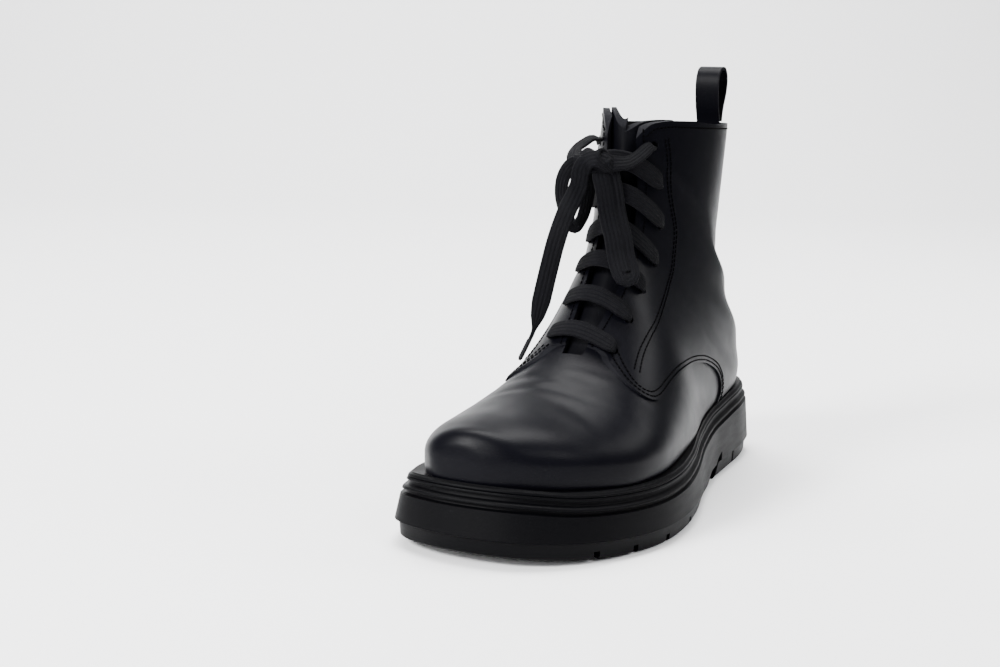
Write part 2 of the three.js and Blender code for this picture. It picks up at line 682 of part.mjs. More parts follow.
// Flat lace from eyelet to eyelet: lies on the facings and dips into both holes
function laceBar(row) {
  const [outerEye, innerEye] = eyeletPlaces()[row];
  const place = outerEye.place;
  const rest = QUARTER_STEP + LACE_GAP + LACE_THICKNESS / 2;
  const stations = LACE_BAR.map(([share, height, width]) => {
    const turn = outerEye.turn + (innerEye.turn - outerEye.turn) * share;
    return { at: upperOffset(place, turn, rest + height * LACE_RISE), width: width * LACE_WIDTH };
  });
  const rings = stations.map(({ at, width }, i) => {
    const before = stations[Math.max(i - 1, 0)].at;
    const after = stations[Math.min(i + 1, stations.length - 1)].at;
    const along = after.clone().sub(before).normalize();
    const up = upperOffset(place + 0.05, outerEye.turn + (innerEye.turn - outerEye.turn) * LACE_BAR[i][0], rest)
      .sub(upperOffset(place - 0.05, outerEye.turn + (innerEye.turn - outerEye.turn) * LACE_BAR[i][0], rest)).normalize();
    const side = up.addScaledVector(along, -up.dot(along)).normalize();
    const thick = along.clone().cross(side).normalize();
    const [w, t] = [width / 2, LACE_THICKNESS / 2];
    return [[1, 0], [0.8, 1], [-0.8, 1], [-1, 0], [-0.8, -1], [0.8, -1]].map(([a, b]) => (
      at.clone().addScaledVector(side, a * w).addScaledVector(thick, b * t).toArray()));
  });
  return skin(rings);
}

// Plain tube along a list of points
function laceTube(width, points) {
  const curve = new THREE.CatmullRomCurve3(points.map((p) => new THREE.Vector3(...p)), false, 'centripetal');
  const section = new THREE.Shape(Array.from({ length: TUBE_SIDES }, (_, i) => {
    const turn = 2 * Math.PI * i / TUBE_SIDES;
    return new THREE.Vector2(Math.cos(turn), Math.sin(turn)).multiplyScalar(width / 2);
  }));
  const steps = Math.max(4, Math.ceil(curve.getLength() / (TUBE_STEP * width)));
  return fromGeometry(new THREE.ExtrudeGeometry(section, { steps, extrudePath: curve, bevelEnabled: false }));
}

const boot = new THREE.Group();
boot.name = 'combat_boot';
boot.add(toMesh('sole', buildSole(), 0x1b1c20, 0.6));
boot.add(toMesh('upper', buildUpper(), 0x14161c, 0.35));
boot.add(toMesh('tongue', buildTongue(), 0x101115, 0.6));
boot.add(toMesh('insole', buildInsole(), 0x141416, 0.8));
boot.add(toMesh('pull_loop', buildPullLoop(), 0x17181d, 0.5));
for (let row = 0; row < EYELET_ROWS - 1; row += 1) {
  boot.add(toMesh(`lace_bar_${row + 1}`, laceBar(row), 0x0e0f12, 0.8));
}
LACE_ROUTES.forEach(([name, width, points]) => boot.add(toMesh(name, laceTube(width, points), 0x0e0f12, 0.8)));

export default boot;
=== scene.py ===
import math
import bmesh
import bpy
import numpy as np
from mathutils import Matrix, Vector
from mathutils.bvhtree import BVHTree


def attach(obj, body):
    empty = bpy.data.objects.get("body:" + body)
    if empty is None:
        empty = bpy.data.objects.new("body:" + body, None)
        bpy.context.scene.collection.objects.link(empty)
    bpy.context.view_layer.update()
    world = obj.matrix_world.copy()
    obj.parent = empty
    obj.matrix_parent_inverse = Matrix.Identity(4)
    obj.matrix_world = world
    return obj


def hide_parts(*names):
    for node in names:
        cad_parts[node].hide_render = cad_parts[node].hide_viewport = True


bl_info = {
    "name": "Combat Boot",
    "version": (1, 0, 0),
    "blender": (4, 5, 0),
    "location": "3D View > Sidebar > Boot",
    "description": "Dresses the frame of a laced leather boot with a lugged rubber sole",
    "category": "Object",
}

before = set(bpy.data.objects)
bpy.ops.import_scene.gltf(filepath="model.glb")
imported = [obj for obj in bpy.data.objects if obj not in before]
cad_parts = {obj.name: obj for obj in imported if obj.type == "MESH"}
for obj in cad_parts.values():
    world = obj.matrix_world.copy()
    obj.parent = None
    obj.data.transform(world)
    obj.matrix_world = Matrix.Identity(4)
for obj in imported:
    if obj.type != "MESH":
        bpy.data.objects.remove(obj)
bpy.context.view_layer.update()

MM = 0.001

# Named sizes of the boot, in millimetres, as the frame has them
SOLE_LENGTH = 313
SOLE_WIDTH = 128
HEEL_HEIGHT = 45
COLLAR_HEIGHT = 204
TOE_SPRING = 4.5
WALL = 2.4
QUARTER_STEP = 1.3
SEAT_GAP = 0.15
THROAT_START = 8.05
THROAT_WIDTH = 20
THROAT_TAPER = 0.25
EYELET_ROWS = 7
EYELET_SPREAD = 37
EYELET_TAPER = 0.2
EYELET_BORE = 5.2
FIRST_ROW = 8.6
LAST_ROW = 18.3
INNER_RAISE = 0.3
COLLAR_SPLIT = 0.05
SPRING_START = -0.24 * SOLE_LENGTH
TONGUE_START = 7.6
TONGUE_WIDTH = 46
TONGUE_THICKNESS = 2.6
TONGUE_GAP = 1.0
TONGUE_LIFT = 0.6
BAR_CLEAR = 0.6
BAR_HALF = 0.85

# Length, width and depth of the cuts in the sole; a lug groove's length is a share of its own place
NOTCH_SIZE = (30, 3.4, 4.2)
LUG_GROOVE_SIZE = (1.04, 7, 4)
HEEL_GROOVE_SIZE = (30, 3.4, 8)
HEEL_GROOVE_PLACE = (0.34, 0.295)

# Fineness of the meshes: sections and points around the upper, points around the sole, steps of the lace
UPPER_MESH = (180, 168)
LINING_MESH = (90, 84)
TONGUE_MESH = (90, 24)
RIM_POINTS = 320
LACE_STEPS = 90
BAR_STEPS = 56
STRAP_STEPS = 40

OUTLINE = [
    # along, across
    [0.5, 0.0], [0.485, 0.16], [0.435, 0.286], [0.36, 0.334], [0.27, 0.35], [0.17, 0.364], [0.06, 0.41],
    [-0.06, 0.482], [-0.16, 0.518], [-0.25, 0.508], [-0.335, 0.444], [-0.405, 0.35], [-0.455, 0.232],
    [-0.487, 0.09], [-0.5, -0.12], [-0.491, -0.29], [-0.463, -0.42], [-0.4, -0.492], [-0.31, -0.51],
    [-0.2, -0.49], [-0.08, -0.43], [0.05, -0.355], [0.17, -0.328], [0.28, -0.338], [0.36, -0.322],
    [0.435, -0.276], [0.485, -0.156],
]
BED = np.array([
    # along, height, flare
    [-0.5, 0.87, 1.45], [-0.42, 0.79, 1.4], [-0.32, 0.745, 1.25], [-0.2, 0.74, 1.1], [-0.08, 0.765, 1.0],
    [0.06, 0.84, 0.95], [0.18, 0.91, 0.95], [0.34, 0.985, 1.0], [0.5, 1.0, 1.0],
])
SIDE_LOW = [
    # inset, rise from the tread
    [3.2, 0.0], [2.0, 1.2], [1.6, 8.6], [0.0, 9.6],
]
SIDE_HIGH = [
    # inset, drop from the foot bed
    [1.9, 11.6], [3.7, 11.1], [3.9, 9.6], [2.4, 9.0], [2.8, 7.6], [4.6, 7.0], [5.1, 5.0], [4.0, 4.5],
    [4.2, 3.4], [4.9, 3.1], [4.4, 2.7], [4.7, 1.6], [5.6, 1.2], [6.0, 0.05],
]
ARCH = [
    # along, up
    [0.102, -0.2], [0.102, 0.0], [0.125, 0.09], [0.155, 0.2], [0.18, 0.28], [0.205, 0.32], [0.196, 0.19],
    [0.18, 0.06], [0.168, 0.0], [0.168, -0.2],
]
SIDE_NOTCHES = [-0.392, -0.318, -0.232, -0.122]
LUG_GROOVES = [
    # along, across
    [-0.42, 0.2], [-0.345, 0.26], [-0.27, 0.28], [-0.19, 0.28], [-0.1, 0.25], [-0.02, 0.22], [0.25, 0.2],
    [0.33, 0.2], [0.41, 0.17],
]
QUARTER_EDGE = [
    # y, z
    [-0.3, 0.69], [-0.191, 0.453], [-0.2, 0.426], [-0.208, 0.391], [-0.206, 0.364], [-0.195, 0.346],
    [-0.179, 0.338], [-0.153, 0.341], [-0.107, 0.358], [-0.06, 0.37], [0.015, 0.369], [0.092, 0.358],
    [0.147, 0.341], [0.212, 0.3], [0.235, 0.264], [0.238, 0.233], [0.221, 0.208], [0.2, 0.18], [0.2, 0.0],
]
COLLAR_LINE = [
    # y, z, rise of the inner side
    [-0.5, 0.85, 0.0], [-0.04, 0.94, 0.01], [-0.028, 0.972, 0.012], [-0.018, 0.995, 0.018],
    [-0.004, 1.013, 0.024], [0.025, 1.02, 0.03], [0.07, 1.018, 0.018], [0.12, 1.014, 0.0], [0.37, 1.0, 0.0],
    [0.5, 0.994, 0.0],
]
UPPER = np.array([
    # frontY, frontZ, frontX, backY, backZ, backX, outer, inner, wide, top, low
    [-0.4705, 0.255, -0.13, -0.4705, 0.225, -0.13, -0.08, -0.185, 0.5, 2.0, 2.0],
    [-0.466, 0.28, -0.13, -0.466, 0.17, -0.13, -0.012, -0.25, 0.55, 2.0, 2.2],
    [-0.453, 0.306, -0.125, -0.453, 0.13, -0.125, 0.075, -0.295, 0.6, 1.9, 2.5],
    [-0.429, 0.317, -0.115, -0.429, 0.115, -0.11, 0.168, -0.342, 0.57, 1.88, 3.0],
    [-0.394, 0.328, -0.1, -0.394, 0.11, -0.09, 0.264, -0.379, 0.54, 1.86, 3.2],
    [-0.346, 0.339, -0.075, -0.346, 0.105, -0.06, 0.352, -0.401, 0.5, 1.83, 3.4],
    [-0.295, 0.36, -0.05, -0.293, 0.1, -0.03, 0.418, -0.404, 0.45, 1.8, 3.4],
    [-0.25, 0.392, 0.0, -0.23, 0.1, 0.0, 0.45, -0.39, 0.4, 1.8, 3.4],
    [-0.208, 0.437, 0.028, -0.165, 0.1, 0.015, 0.453, -0.365, 0.35, 1.75, 3.4],
    [-0.166, 0.505, 0.042, -0.07, 0.105, 0.02, 0.43, -0.338, 0.31, 1.7, 3.4],
    [-0.122, 0.584, 0.05, 0.04, 0.11, 0.015, 0.392, -0.305, 0.29, 1.75, 3.4],
    [-0.083, 0.664, 0.05, 0.155, 0.125, 0.01, 0.335, -0.287, 0.28, 1.8, 3.6],
    [-0.059, 0.73, 0.05, 0.275, 0.14, 0.005, 0.305, -0.268, 0.28, 1.8, 3.8],
    [-0.047, 0.789, 0.048, 0.375, 0.15, 0.002, 0.292, -0.262, 0.3, 1.85, 3.6],
    [-0.041, 0.838, 0.046, 0.45, 0.185, 0.0, 0.286, -0.252, 0.34, 1.85, 2.7],
    [-0.038, 0.877, 0.044, 0.466, 0.272, 0.005, 0.274, -0.238, 0.39, 1.85, 2.0],
    [-0.036, 0.912, 0.042, 0.444, 0.372, 0.01, 0.26, -0.22, 0.43, 1.85, 1.76],
    [-0.034, 0.946, 0.04, 0.4, 0.468, 0.018, 0.253, -0.202, 0.47, 1.85, 1.7],
    [-0.033, 0.98, 0.038, 0.366, 0.567, 0.026, 0.256, -0.188, 0.5, 1.85, 1.7],
    [-0.033, 1.015, 0.036, 0.366, 0.686, 0.036, 0.26, -0.178, 0.5, 1.83, 1.8],
    [-0.033, 1.05, 0.034, 0.373, 0.82, 0.046, 0.266, -0.17, 0.5, 1.8, 1.84],
    [-0.034, 1.085, 0.033, 0.384, 0.958, 0.052, 0.272, -0.166, 0.5, 1.8, 1.85],
    [-0.036, 1.13, 0.032, 0.39, 1.09, 0.055, 0.275, -0.165, 0.5, 1.8, 1.85],
])

# Soft creases and folds of the worn leather: where each lies on the upper, how it runs and how deep it is
CREASES = [
    # place, turn, tilt, width, spread, depth
    [6.35, 0.1, 0.35, 0.2, 0.75, 0.3],
    [6.95, -0.1, -0.3, 0.18, 0.8, 0.25],
    [7.45, 0.35, 0.45, 0.14, 0.5, 0.2],
    [5.7, 0.5, -0.5, 0.2, 0.6, 0.15],
    [15.6, 1.95, 1.3, 0.45, 0.45, 1.7],
    [14.0, 1.75, 1.6, 0.35, 0.4, 0.8],
    [17.4, 2.25, 1.0, 0.4, 0.45, 1.2],
    [12.6, 1.35, 1.2, 0.22, 0.3, 0.4],
    [15.2, -1.95, -1.5, 0.38, 0.4, 0.8],
    [17.2, -2.3, -1.1, 0.32, 0.4, 0.7],
    [13.6, -1.6, -1.5, 0.25, 0.35, 0.5],
]

# Rows of stitches: the swing line in side view, and how far in each row lies, in millimetres
SWING_LINE = np.array([
    # y, z
    [-54.4, 83.4], [-43.5, 91.5], [-32.3, 98.4], [-20, 104.5], [-8.4, 110.8], [2, 117.5], [10.9, 125.6],
    [15.5, 135.1], [18.6, 147.4], [16.1, 160.2], [13.6, 170], [11.3, 179.1], [7.7, 197.7],
])
SWING_ROWS = (-1.1, 1.1)
WING_ROWS = (1.8, 4.0)
FACING_ROW = 2.4
COLLAR_ROW = 3.2

# Bars of lace: heights over the facing, in millimetres, on the way from eyelet to eyelet
BAR_STATIONS = [
    # share of the way, height
    [-0.012, -5.0], [-0.012, -2.6], [0.0, -0.2], [0.03, 0.75], [0.1, 1.0], [0.25, 1.15], [0.4, 1.35],
    [0.6, 1.35], [0.75, 1.15], [0.9, 1.0], [0.97, 0.75], [1.0, -0.2], [1.012, -2.6], [1.012, -5.0],
]

# Routes of the free lace, in metres, as the frame has them; the third point of a run is its eyelet's mouth
OUTER_RUN = [(0.0182, 0.0012, 0.1938), (0.0208, -0.0027, 0.1945), (0.0205, -0.0055, 0.195),
             (0.018, -0.01, 0.1915), (0.0155, -0.014, 0.1885), (0.0125, -0.018, 0.1865),
             (0.007, -0.0225, 0.1862), (0.0, -0.0245, 0.186), (-0.006, -0.0262, 0.1855)]
INNER_RUN = [(-0.0102, 0.0004, 0.1965), (-0.0122, -0.0018, 0.1978), (-0.0145, -0.004, 0.198),
             (-0.017, -0.007, 0.196), (-0.0195, -0.011, 0.193), (-0.0195, -0.016, 0.19),
             (-0.0145, -0.0225, 0.1872), (-0.007, -0.0225, 0.1862), (-0.0005, -0.0225, 0.184)]
END_ROUTE = [(-0.0095, -0.025, 0.1824), (-0.011, -0.0285, 0.173), (-0.014, -0.0375, 0.159),
             (-0.016, -0.044, 0.1455), (-0.018, -0.0485, 0.13), (-0.02, -0.0535, 0.112),
             (-0.022, -0.058, 0.097), (-0.0235, -0.0625, 0.0905), (-0.025, -0.067, 0.084)]
SMALL_LOOP = [(-0.012, -0.0235, 0.186), (-0.0165, -0.0255, 0.1845), (-0.02, -0.028, 0.178),
              (-0.0215, -0.027, 0.168), (-0.021, -0.02, 0.156), (-0.018, -0.017, 0.15),
              (-0.014, -0.017, 0.154), (-0.011, -0.017, 0.163), (-0.009, -0.019, 0.173),
              (-0.0065, -0.022, 0.1815), (-0.005, -0.0225, 0.185)]
LONG_LOOP = np.array([(0.002, -0.0235, 0.18), (0.0035, -0.0225, 0.173), (0.0055, -0.0225, 0.162),
                      (0.009, -0.026, 0.1545), (0.012, -0.028, 0.1475), (0.015, -0.03, 0.138),
                      (0.02, -0.035, 0.13)])

# The long loop's front and rear layers, beside its route, its fold and where it ends in the knot
LOOP_FRONT = (-0.0014, -0.0014, 0)
LOOP_REAR = (0.0026, 0.0014, 0.0004)
LOOP_FOLD = [(0.0016, -0.0024, -0.0026), (0.0034, -0.0008, -0.0016)]
LOOP_END = (0.0035, -0.0215, 0.1845)

# Which way each cord's flat face looks, at even steps along it
OUTER_FACES = [(0.5, -0.6, 0.6), (0.3, -0.8, 0.5), (0.2, -0.9, 0.2), (0.35, -0.9, 0.15), (0.4, -0.9, 0.2),
               (0.4, -0.9, 0.2), (0.4, -0.9, 0.2), (0.3, -0.9, 0.3)]
INNER_FACES = [(-0.6, -0.6, 0.5), (-0.3, -0.8, 0.5), (0.3, -0.9, 0.2), (0.4, -0.8, 0.3), (0.4, -0.75, 0.4),
               (0.4, -0.8, 0.3), (0.4, -0.8, 0.3), (0.35, -0.85, 0.3), (0.3, -0.9, 0.2)]
SMALL_FACES = [(0.3, -0.9, 0.2), (0.1, -0.95, 0.1), (0.0, -0.9, 0.2), (0.9, -0.4, 0.3), (0.6, -0.8, 0.1),
               (0.4, -0.9, 0.1)]

# Width of a cord along its way: share of the way, share of the width
END_TAPER = [(0, 0.35), (0.03, 0.5), (0.07, 0.72), (0.13, 0.74), (0.2, 0.9), (0.3, 1), (0.79, 1),
             (0.84, 0.75), (0.885, 0.24), (1, 0.14)]
SMALL_TAPER = [(0, 0.8), (0.5, 0.7), (1, 0.8)]
STRAP_TAPER = [(0, 0.7), (0.15, 1), (0.85, 1), (1, 0.9)]

# The knot, in metres: its core, the strap over it and its two turns
KNOT_ROUTE = [(-0.014, -0.023, 0.187), (-0.009, -0.024, 0.187), (-0.002, -0.024, 0.1865),
              (0.005, -0.023, 0.1855)]
KNOT_CORE_SIZE = (0.0085, 0.0072)
STRAP_ROUTE = [(0.0065, -0.0195, 0.1825), (0.006, -0.0235, 0.1852), (0.0029, -0.0265, 0.1876),
               (-0.0014, -0.0283, 0.1887), (-0.0063, -0.0288, 0.1868), (-0.0094, -0.0286, 0.182),
               (-0.0104, -0.0285, 0.1765), (-0.0112, -0.0283, 0.1725)]
STRAP_FACES = ((0.6, -0.75, 0.3), (0.42, -0.88, 0.2))
STRAP_CROWN = (0, 0, 0.35)
STRAP_WIDTH = 0.98
KNOT_MIDDLE = (-0.0045, -0.0235, 0.1866)
KNOT_DEPTH = 0.0034
KNOT_RISE = 0.0052
KNOT_TURNS = [
    # shift to the side, lean, twist
    [-0.003, 0.002, 0.002125],
    [0.004, -0.0024, 0.00175],
]

# Radii of the aglet from the lace to its tip, in millimetres
AGLET_RADII = [1.0] + [1.25] * 16 + [1.1, 0.6]

# The camera: its place in metres, its axes and its lens in millimetres
CAMERA_EYE = (0.3249, -0.7847, 0.2425)
CAMERA_RIGHT = (0.8914, 0.4529, 0.0183)
CAMERA_UP = (-0.0968, 0.1508, 0.9838)
CAMERA_AHEAD = (-0.4428, 0.8787, -0.1783)
CAMERA_LENS = 55.61

# The floor sheet, in metres: along the view, upwards, and its edges to the sides
FLOOR_NEAR = -0.75
FLOOR_BEND = 1.6
FLOOR_CURVE = 0.8
FLOOR_TOP = 3.5
FLOOR_LEFT = -3.0
FLOOR_RIGHT = 0.33
FLOOR_WIDENING = 0.35
FLOOR_SINK = 0.0002
LIGHTS = [
    # name, place, target, size, power
    ("key_left", (-0.62, -1.35, 1.05), (0, -0.05, 0.08), (0.5, 0.5), 62),
    ("rim_right", (0.85, 0.62, 0.84), (0.03, -0.05, 0.08), (0.5, 0.5), 9),
    ("side_right", (0.95, -0.42, 1.0), (0.03, -0.1, 0.06), (0.35, 0.35), 7),
    ("toe_spot", (-0.18, -1.4, 0.45), (0, -0.14, 0.05), (0.3, 0.3), 7),
    ("top", (-0.3, 0.35, 2.2), (-0.1, 0.3, 0), (1.5, 1.0), 70),
    ("backdrop", (-0.6, 0.5, 2.4), (-0.9, 2.0, 0.2), (2.4, 1.0), 115),
]

# Sockets of a Mix node that mixes colours
COLOUR_A = 6
COLOUR_B = 7
COLOUR_RESULT = 2


def unit(vectors):
    """The vectors at length one."""
    return vectors / np.linalg.norm(vectors, axis=-1, keepdims=True)


def distances(line):
    """Distance along a line to each of its points."""
    return np.concatenate([[0], np.cumsum(np.linalg.norm(np.diff(line, axis=0), axis=1))])


def sampled(at, keys, values):
    """Rows of values read at places between their keys."""
    values = np.asarray(values)
    return np.stack([np.interp(at, keys, values[:, k]) for k in range(values.shape[1])], axis=1)


def between(table, column, place):
    """Smooth value between the rows of a table, at places counted in rows."""
    last = len(table) - 1
    i = np.clip(np.floor(place).astype(int), 0, last - 1)
    t = place - i
    a, b, c, d = (table[np.clip(i + k, 0, last), column] for k in (-1, 0, 1, 2))
    return b + 0.5 * t * (c - a + t * (2 * a - 5 * b + 4 * c - d + t * (3 * (b - c) + d - a)))


def lookup(table, column, key):
    """Smooth value of a table whose first column rises."""
    keys = table[:, 0]
    k = np.clip(key, keys[0], keys[-1])
    i = np.clip(np.searchsorted(keys, k, side="left") - 1, 0, len(keys) - 2)
    return between(table, column, i + (k - keys[i]) / (keys[i + 1] - keys[i]))


def bed(y):
    """Height of the foot bed."""
    return HEEL_HEIGHT * lookup(BED, 1, np.asarray(y) / SOLE_LENGTH)


def tread(y):
    """Height of the tread, which springs up towards the toe."""
    share = np.minimum(0, np.asarray(y) - SPRING_START) / (SPRING_START + SOLE_LENGTH / 2)
    return TOE_SPRING * share ** 2


def upper_point(place, turn):
    """Point on the upper's own form, in millimetres."""
    place, turn = np.broadcast_arrays(np.asarray(place, float), np.asarray(turn, float))
    s, c = np.sin(turn), np.cos(turn)
    v = [between(UPPER, k, place) for k in range(11)]
    square = np.where(c > 0, v[9], v[10])
    height = v[8] + np.where(c > 0, 1 - v[8], v[8]) * np.sign(c) * np.abs(c) ** (2 / square)
    middle = v[5] + (v[2] - v[5]) * height
    edge = np.where(s > 0, v[6], v[7])
    x = middle + (edge - middle) * np.abs(s) ** (2 / square)
    y = v[3] + (v[0] - v[3]) * height
    z = v[4] + (v[1] - v[4]) * height
    return np.stack([x * SOLE_WIDTH, y * SOLE_LENGTH, z * COLLAR_HEIGHT], axis=-1)


def crease_depth(place, turn):
    """How deep the creases are at a spot on the upper, with a soft bank on both sides of each."""
    wrapped = (turn + math.pi) % (2 * math.pi) - math.pi
    depth = np.zeros(np.broadcast(place, turn).shape)
    for at, round_at, tilt, width, spread, deep in CREASES:
        side = wrapped - round_at
        run = place - at - tilt * side
        fold = np.exp(-(run / width) ** 2) - 0.45 * np.exp(-((np.abs(run) - 1.7 * width) / width) ** 2)
        depth += deep * fold * np.exp(-(side / spread) ** 2)
    return depth


def upper_offset(place, turn, out, creased=False):
    """Point at a distance out from the upper's form."""
    place, turn = np.broadcast_arrays(np.asarray(place, float), np.asarray(turn, float))
    last, e = len(UPPER) - 1, 0.02
    along = upper_point(np.minimum(place + e, last), turn) - upper_point(np.maximum(place - e, 0), turn)
    around = upper_point(place, turn + e) - upper_point(place, turn - e)
    normal = unit(np.cross(along, around))
    if creased:
        out = out - settings().crease_share * crease_depth(place, turn)
    return upper_point(place, turn) - normal * np.asarray(out)[..., None]


def settings():
    return bpy.context.scene.boot_settings


def placed(name, data):
    """New object in the scene."""
    piece = bpy.data.objects.new(name, data)
    bpy.context.scene.collection.objects.link(piece)
    return piece


def mesh_object(name, verts, faces, materials=(), smooth=True):
    mesh = bpy.data.meshes.new(name)
    mesh.from_pydata([tuple(v) for v in verts], [], [tuple(f) for f in faces])
    bm = bmesh.new()
    bm.from_mesh(mesh)
    if bm.calc_volume(signed=True) < 0:
        bmesh.ops.reverse_faces(bm, faces=bm.faces)
    bm.to_mesh(mesh)
    bm.free()
    for material in materials:
        mesh.materials.append(material)
    mesh.polygons.foreach_set("use_smooth", [smooth] * len(mesh.polygons))
    return placed(name, mesh)


def ring_faces(rows, n):
    i, j = np.meshgrid(np.arange(rows - 1), np.arange(n), indexing="ij")
    a, b = i * n + j, i * n + (j + 1) % n
    return np.stack([a, b, b + n, a + n], axis=-1).reshape(-1, 4).tolist()


def lofted(name, rings, materials=(), strips=None):
    """Closed skin through rings of equal count, given in millimetres."""
    rings = np.asarray(rings)
    rows, n = rings.shape[:2]
    verts = rings.reshape(-1, 3)
    faces = ring_faces(rows, n)
    for row, end in ((0, False), (rows - 1, True)):
        start = row * n
        if strips is not None:
            caps = [[start + j, start + j + 1, start + (n - j - 1 - strips) % n, start + (n - j - strips) % n]
                    for j in range(n // 2 - strips)]
            caps = [list(dict.fromkeys(c)) for c in caps]
            faces += [c if end else c[::-1] for c in caps if len(c) > 2]
        else:
            verts = np.vstack([verts, rings[row].mean(axis=0)])
            tip = len(verts) - 1
            fan = [[start + j, start + (j + 1) % n, tip] for j in range(n)]
            faces += [f if end else f[::-1] for f in fan]
    return mesh_object(name, verts * MM, faces, materials)


def side_block(name, profile, x0, x1, materials=()):
    """Prism whose side view is a closed list of points, in millimetres."""
    n = len(profile)
    verts = [(x, y, z) for x in (x0, x1) for y, z in profile]
    faces = [[j, (j + 1) % n, n + (j + 1) % n, n + j] for j in range(n)]
    faces += [list(range(n))[::-1], list(range(n, 2 * n))]
    return mesh_object(name, np.array(verts) * MM, faces, materials, smooth=False)


def groove(x, y, turn, size, material):
    """Box sunk into the tread, for a notch or a groove."""
    corners = [(a, b, c) for a in (-1, 1) for b in (-1, 1) for c in (-1, 1)]
    pattern = [[0, 1, 3, 2], [4, 6, 7, 5], [0, 4, 5, 1], [2, 3, 7, 6], [0, 2, 6, 4], [1, 5, 7, 3]]
    middle = Vector((x, y, float(tread(y))))
    rotate = Matrix.Rotation(turn, 3, "Z")
    length, width, depth = size
    verts = [middle + rotate @ Vector((a * length / 2, b * width / 2, c * depth)) for a, b, c in corners]
    return mesh_object("groove", [v * MM for v in verts], pattern, [material], smooth=False)


def make_plain(piece):
    """Turns a piece's live modifiers into its mesh."""
    ready = piece.evaluated_get(bpy.context.evaluated_depsgraph_get())
    old, piece.data = piece.data, bpy.data.meshes.new_from_object(ready)
    piece.modifiers.clear()
    if old.users == 0 and isinstance(old, bpy.types.Mesh):
        bpy.data.meshes.remove(old)


def carve(target, tool, operation="DIFFERENCE"):
    change = target.modifiers.new("carve", "BOOLEAN")
    change.operation = operation
    change.solver = "EXACT"
    change.material_mode = "TRANSFER"
    change.object = tool
    make_plain(target)
    bpy.data.objects.remove(tool)


def finish_edges(piece, angle=38):
    piece.data.polygons.foreach_set("use_smooth", [True] * len(piece.data.polygons))
    piece.data.set_sharp_from_angle(angle=math.radians(angle))
    return piece


def smooth_line(points, closed=False, samples=24):
    """Centripetal curve through points, cut into many short steps."""
    p = np.asarray(points, float)
    n = len(p)
    if closed:
        p = np.vstack([p[-1], p, p[0], p[1]])
    else:
        p = np.vstack([2 * p[0] - p[1], p, 2 * p[-1] - p[-2]])
    line = []
    for i in range(n if closed else n - 1):
        a, b, c, d = p[i:i + 4]
        g = [max(np.linalg.norm(v), 1e-9) ** 0.5 for v in (b - a, c - b, d - c)]
        t1 = ((b - a) / g[0] - (c - a) / (g[0] + g[1]) + (c - b) / g[1]) * g[1]
        t2 = ((c - b) / g[1] - (d - b) / (g[1] + g[2]) + (d - c) / g[2]) * g[1]
        t = np.linspace(0, 1, samples, endpoint=False)[:, None]
        line.append(b + t1 * t + (3 * (c - b) - 2 * t1 - t2) * t ** 2 + (2 * (b - c) + t1 + t2) * t ** 3)
    line = np.vstack(line)
    return np.vstack([line, line[0] if closed else p[-2]])


def even_line(points, count, closed=False):
    """Points at equal distances along the smooth line."""
    line = smooth_line(points, closed)
    length = distances(line)
    return sampled(np.linspace(0, length[-1], count), length, line)


def rounded(profile, radius):
    """The profile with each inner corner rounded."""
    p = np.asarray(profile, float)
    out = [p[0]]
    for a, b, c in zip(p[:-2], p[1:-1], p[2:]):
        la, lc = np.linalg.norm(a - b), np.linalg.norm(c - b)
        r = min(radius, 0.45 * la, 0.45 * lc)
        start, end = b + (a - b) * r / la, b + (c - b) * r / lc
        out += [start, 0.25 * start + 0.5 * b + 0.25 * end, end]
    return np.array(out + [p[-1]])


# Materials

def add(tree, kind, inputs=None, **values):
    """New node with its settings; each input is a socket to link or a plain value."""
    node = tree.nodes.new(kind)
    for key, value in values.items():
        setattr(node, key, value)
    for key, value in (inputs or {}).items():
        if isinstance(value, bpy.types.NodeSocket):
            tree.links.new(value, node.inputs[key])
        else:
            node.inputs[key].default_value = value
    return node


def maths(tree, operation, *values):
    return add(tree, "ShaderNodeMath", dict(enumerate(values)), operation=operation).outputs[0]


def node_material(name, colour, roughness, gloss):
    """Material with its tree, its shader and the object's own coordinates."""
    material = bpy.data.materials.new(name)
    material.use_nodes = True
    tree = material.node_tree
    shader = tree.nodes["Principled BSDF"]
    shader.inputs["Base Color"].default_value = (*colour[:3], 1)
    shader.inputs["Roughness"].default_value = roughness
    shader.inputs["Specular IOR Level"].default_value = gloss
    return material, tree, shader, add(tree, "ShaderNodeTexCoord").outputs["Object"]


def noise(tree, coords, scale, detail=3.0, stretch=(1, 1, 1)):
    spot = add(tree, "ShaderNodeMapping", {"Vector": coords, "Scale": stretch}).outputs["Vector"]
    return add(tree, "ShaderNodeTexNoise", {"Vector": spot, "Scale": scale, "Detail": detail}).outputs["Fac"]


def ranged(tree, value, low, high, start=0.3, stop=0.7):
    ends = {"Value": value, "From Min": start, "From Max": stop, "To Min": low, "To Max": high}
    return add(tree, "ShaderNodeMapRange", ends).outputs["Result"]


def bump(tree, height, strength, distance, normal=None):
    inputs = {"Height": height, "Strength": strength, "Distance": distance}
    if normal is not None:
        inputs["Normal"] = normal
    return add(tree, "ShaderNodeBump", inputs).outputs["Normal"]


def tinted(tree, shader, factor, colour, dark, light):
    """Lets the base colour drift between a darker and a lighter share of a colour."""
    first, second = ((*[c * share for c in colour[:3]], 1) for share in (dark, light))
    mix = add(tree, "ShaderNodeMix", {0: factor, COLOUR_A: first, COLOUR_B: second}, data_type="RGBA")
    tree.links.new(mix.outputs[COLOUR_RESULT], shader.inputs["Base Color"])


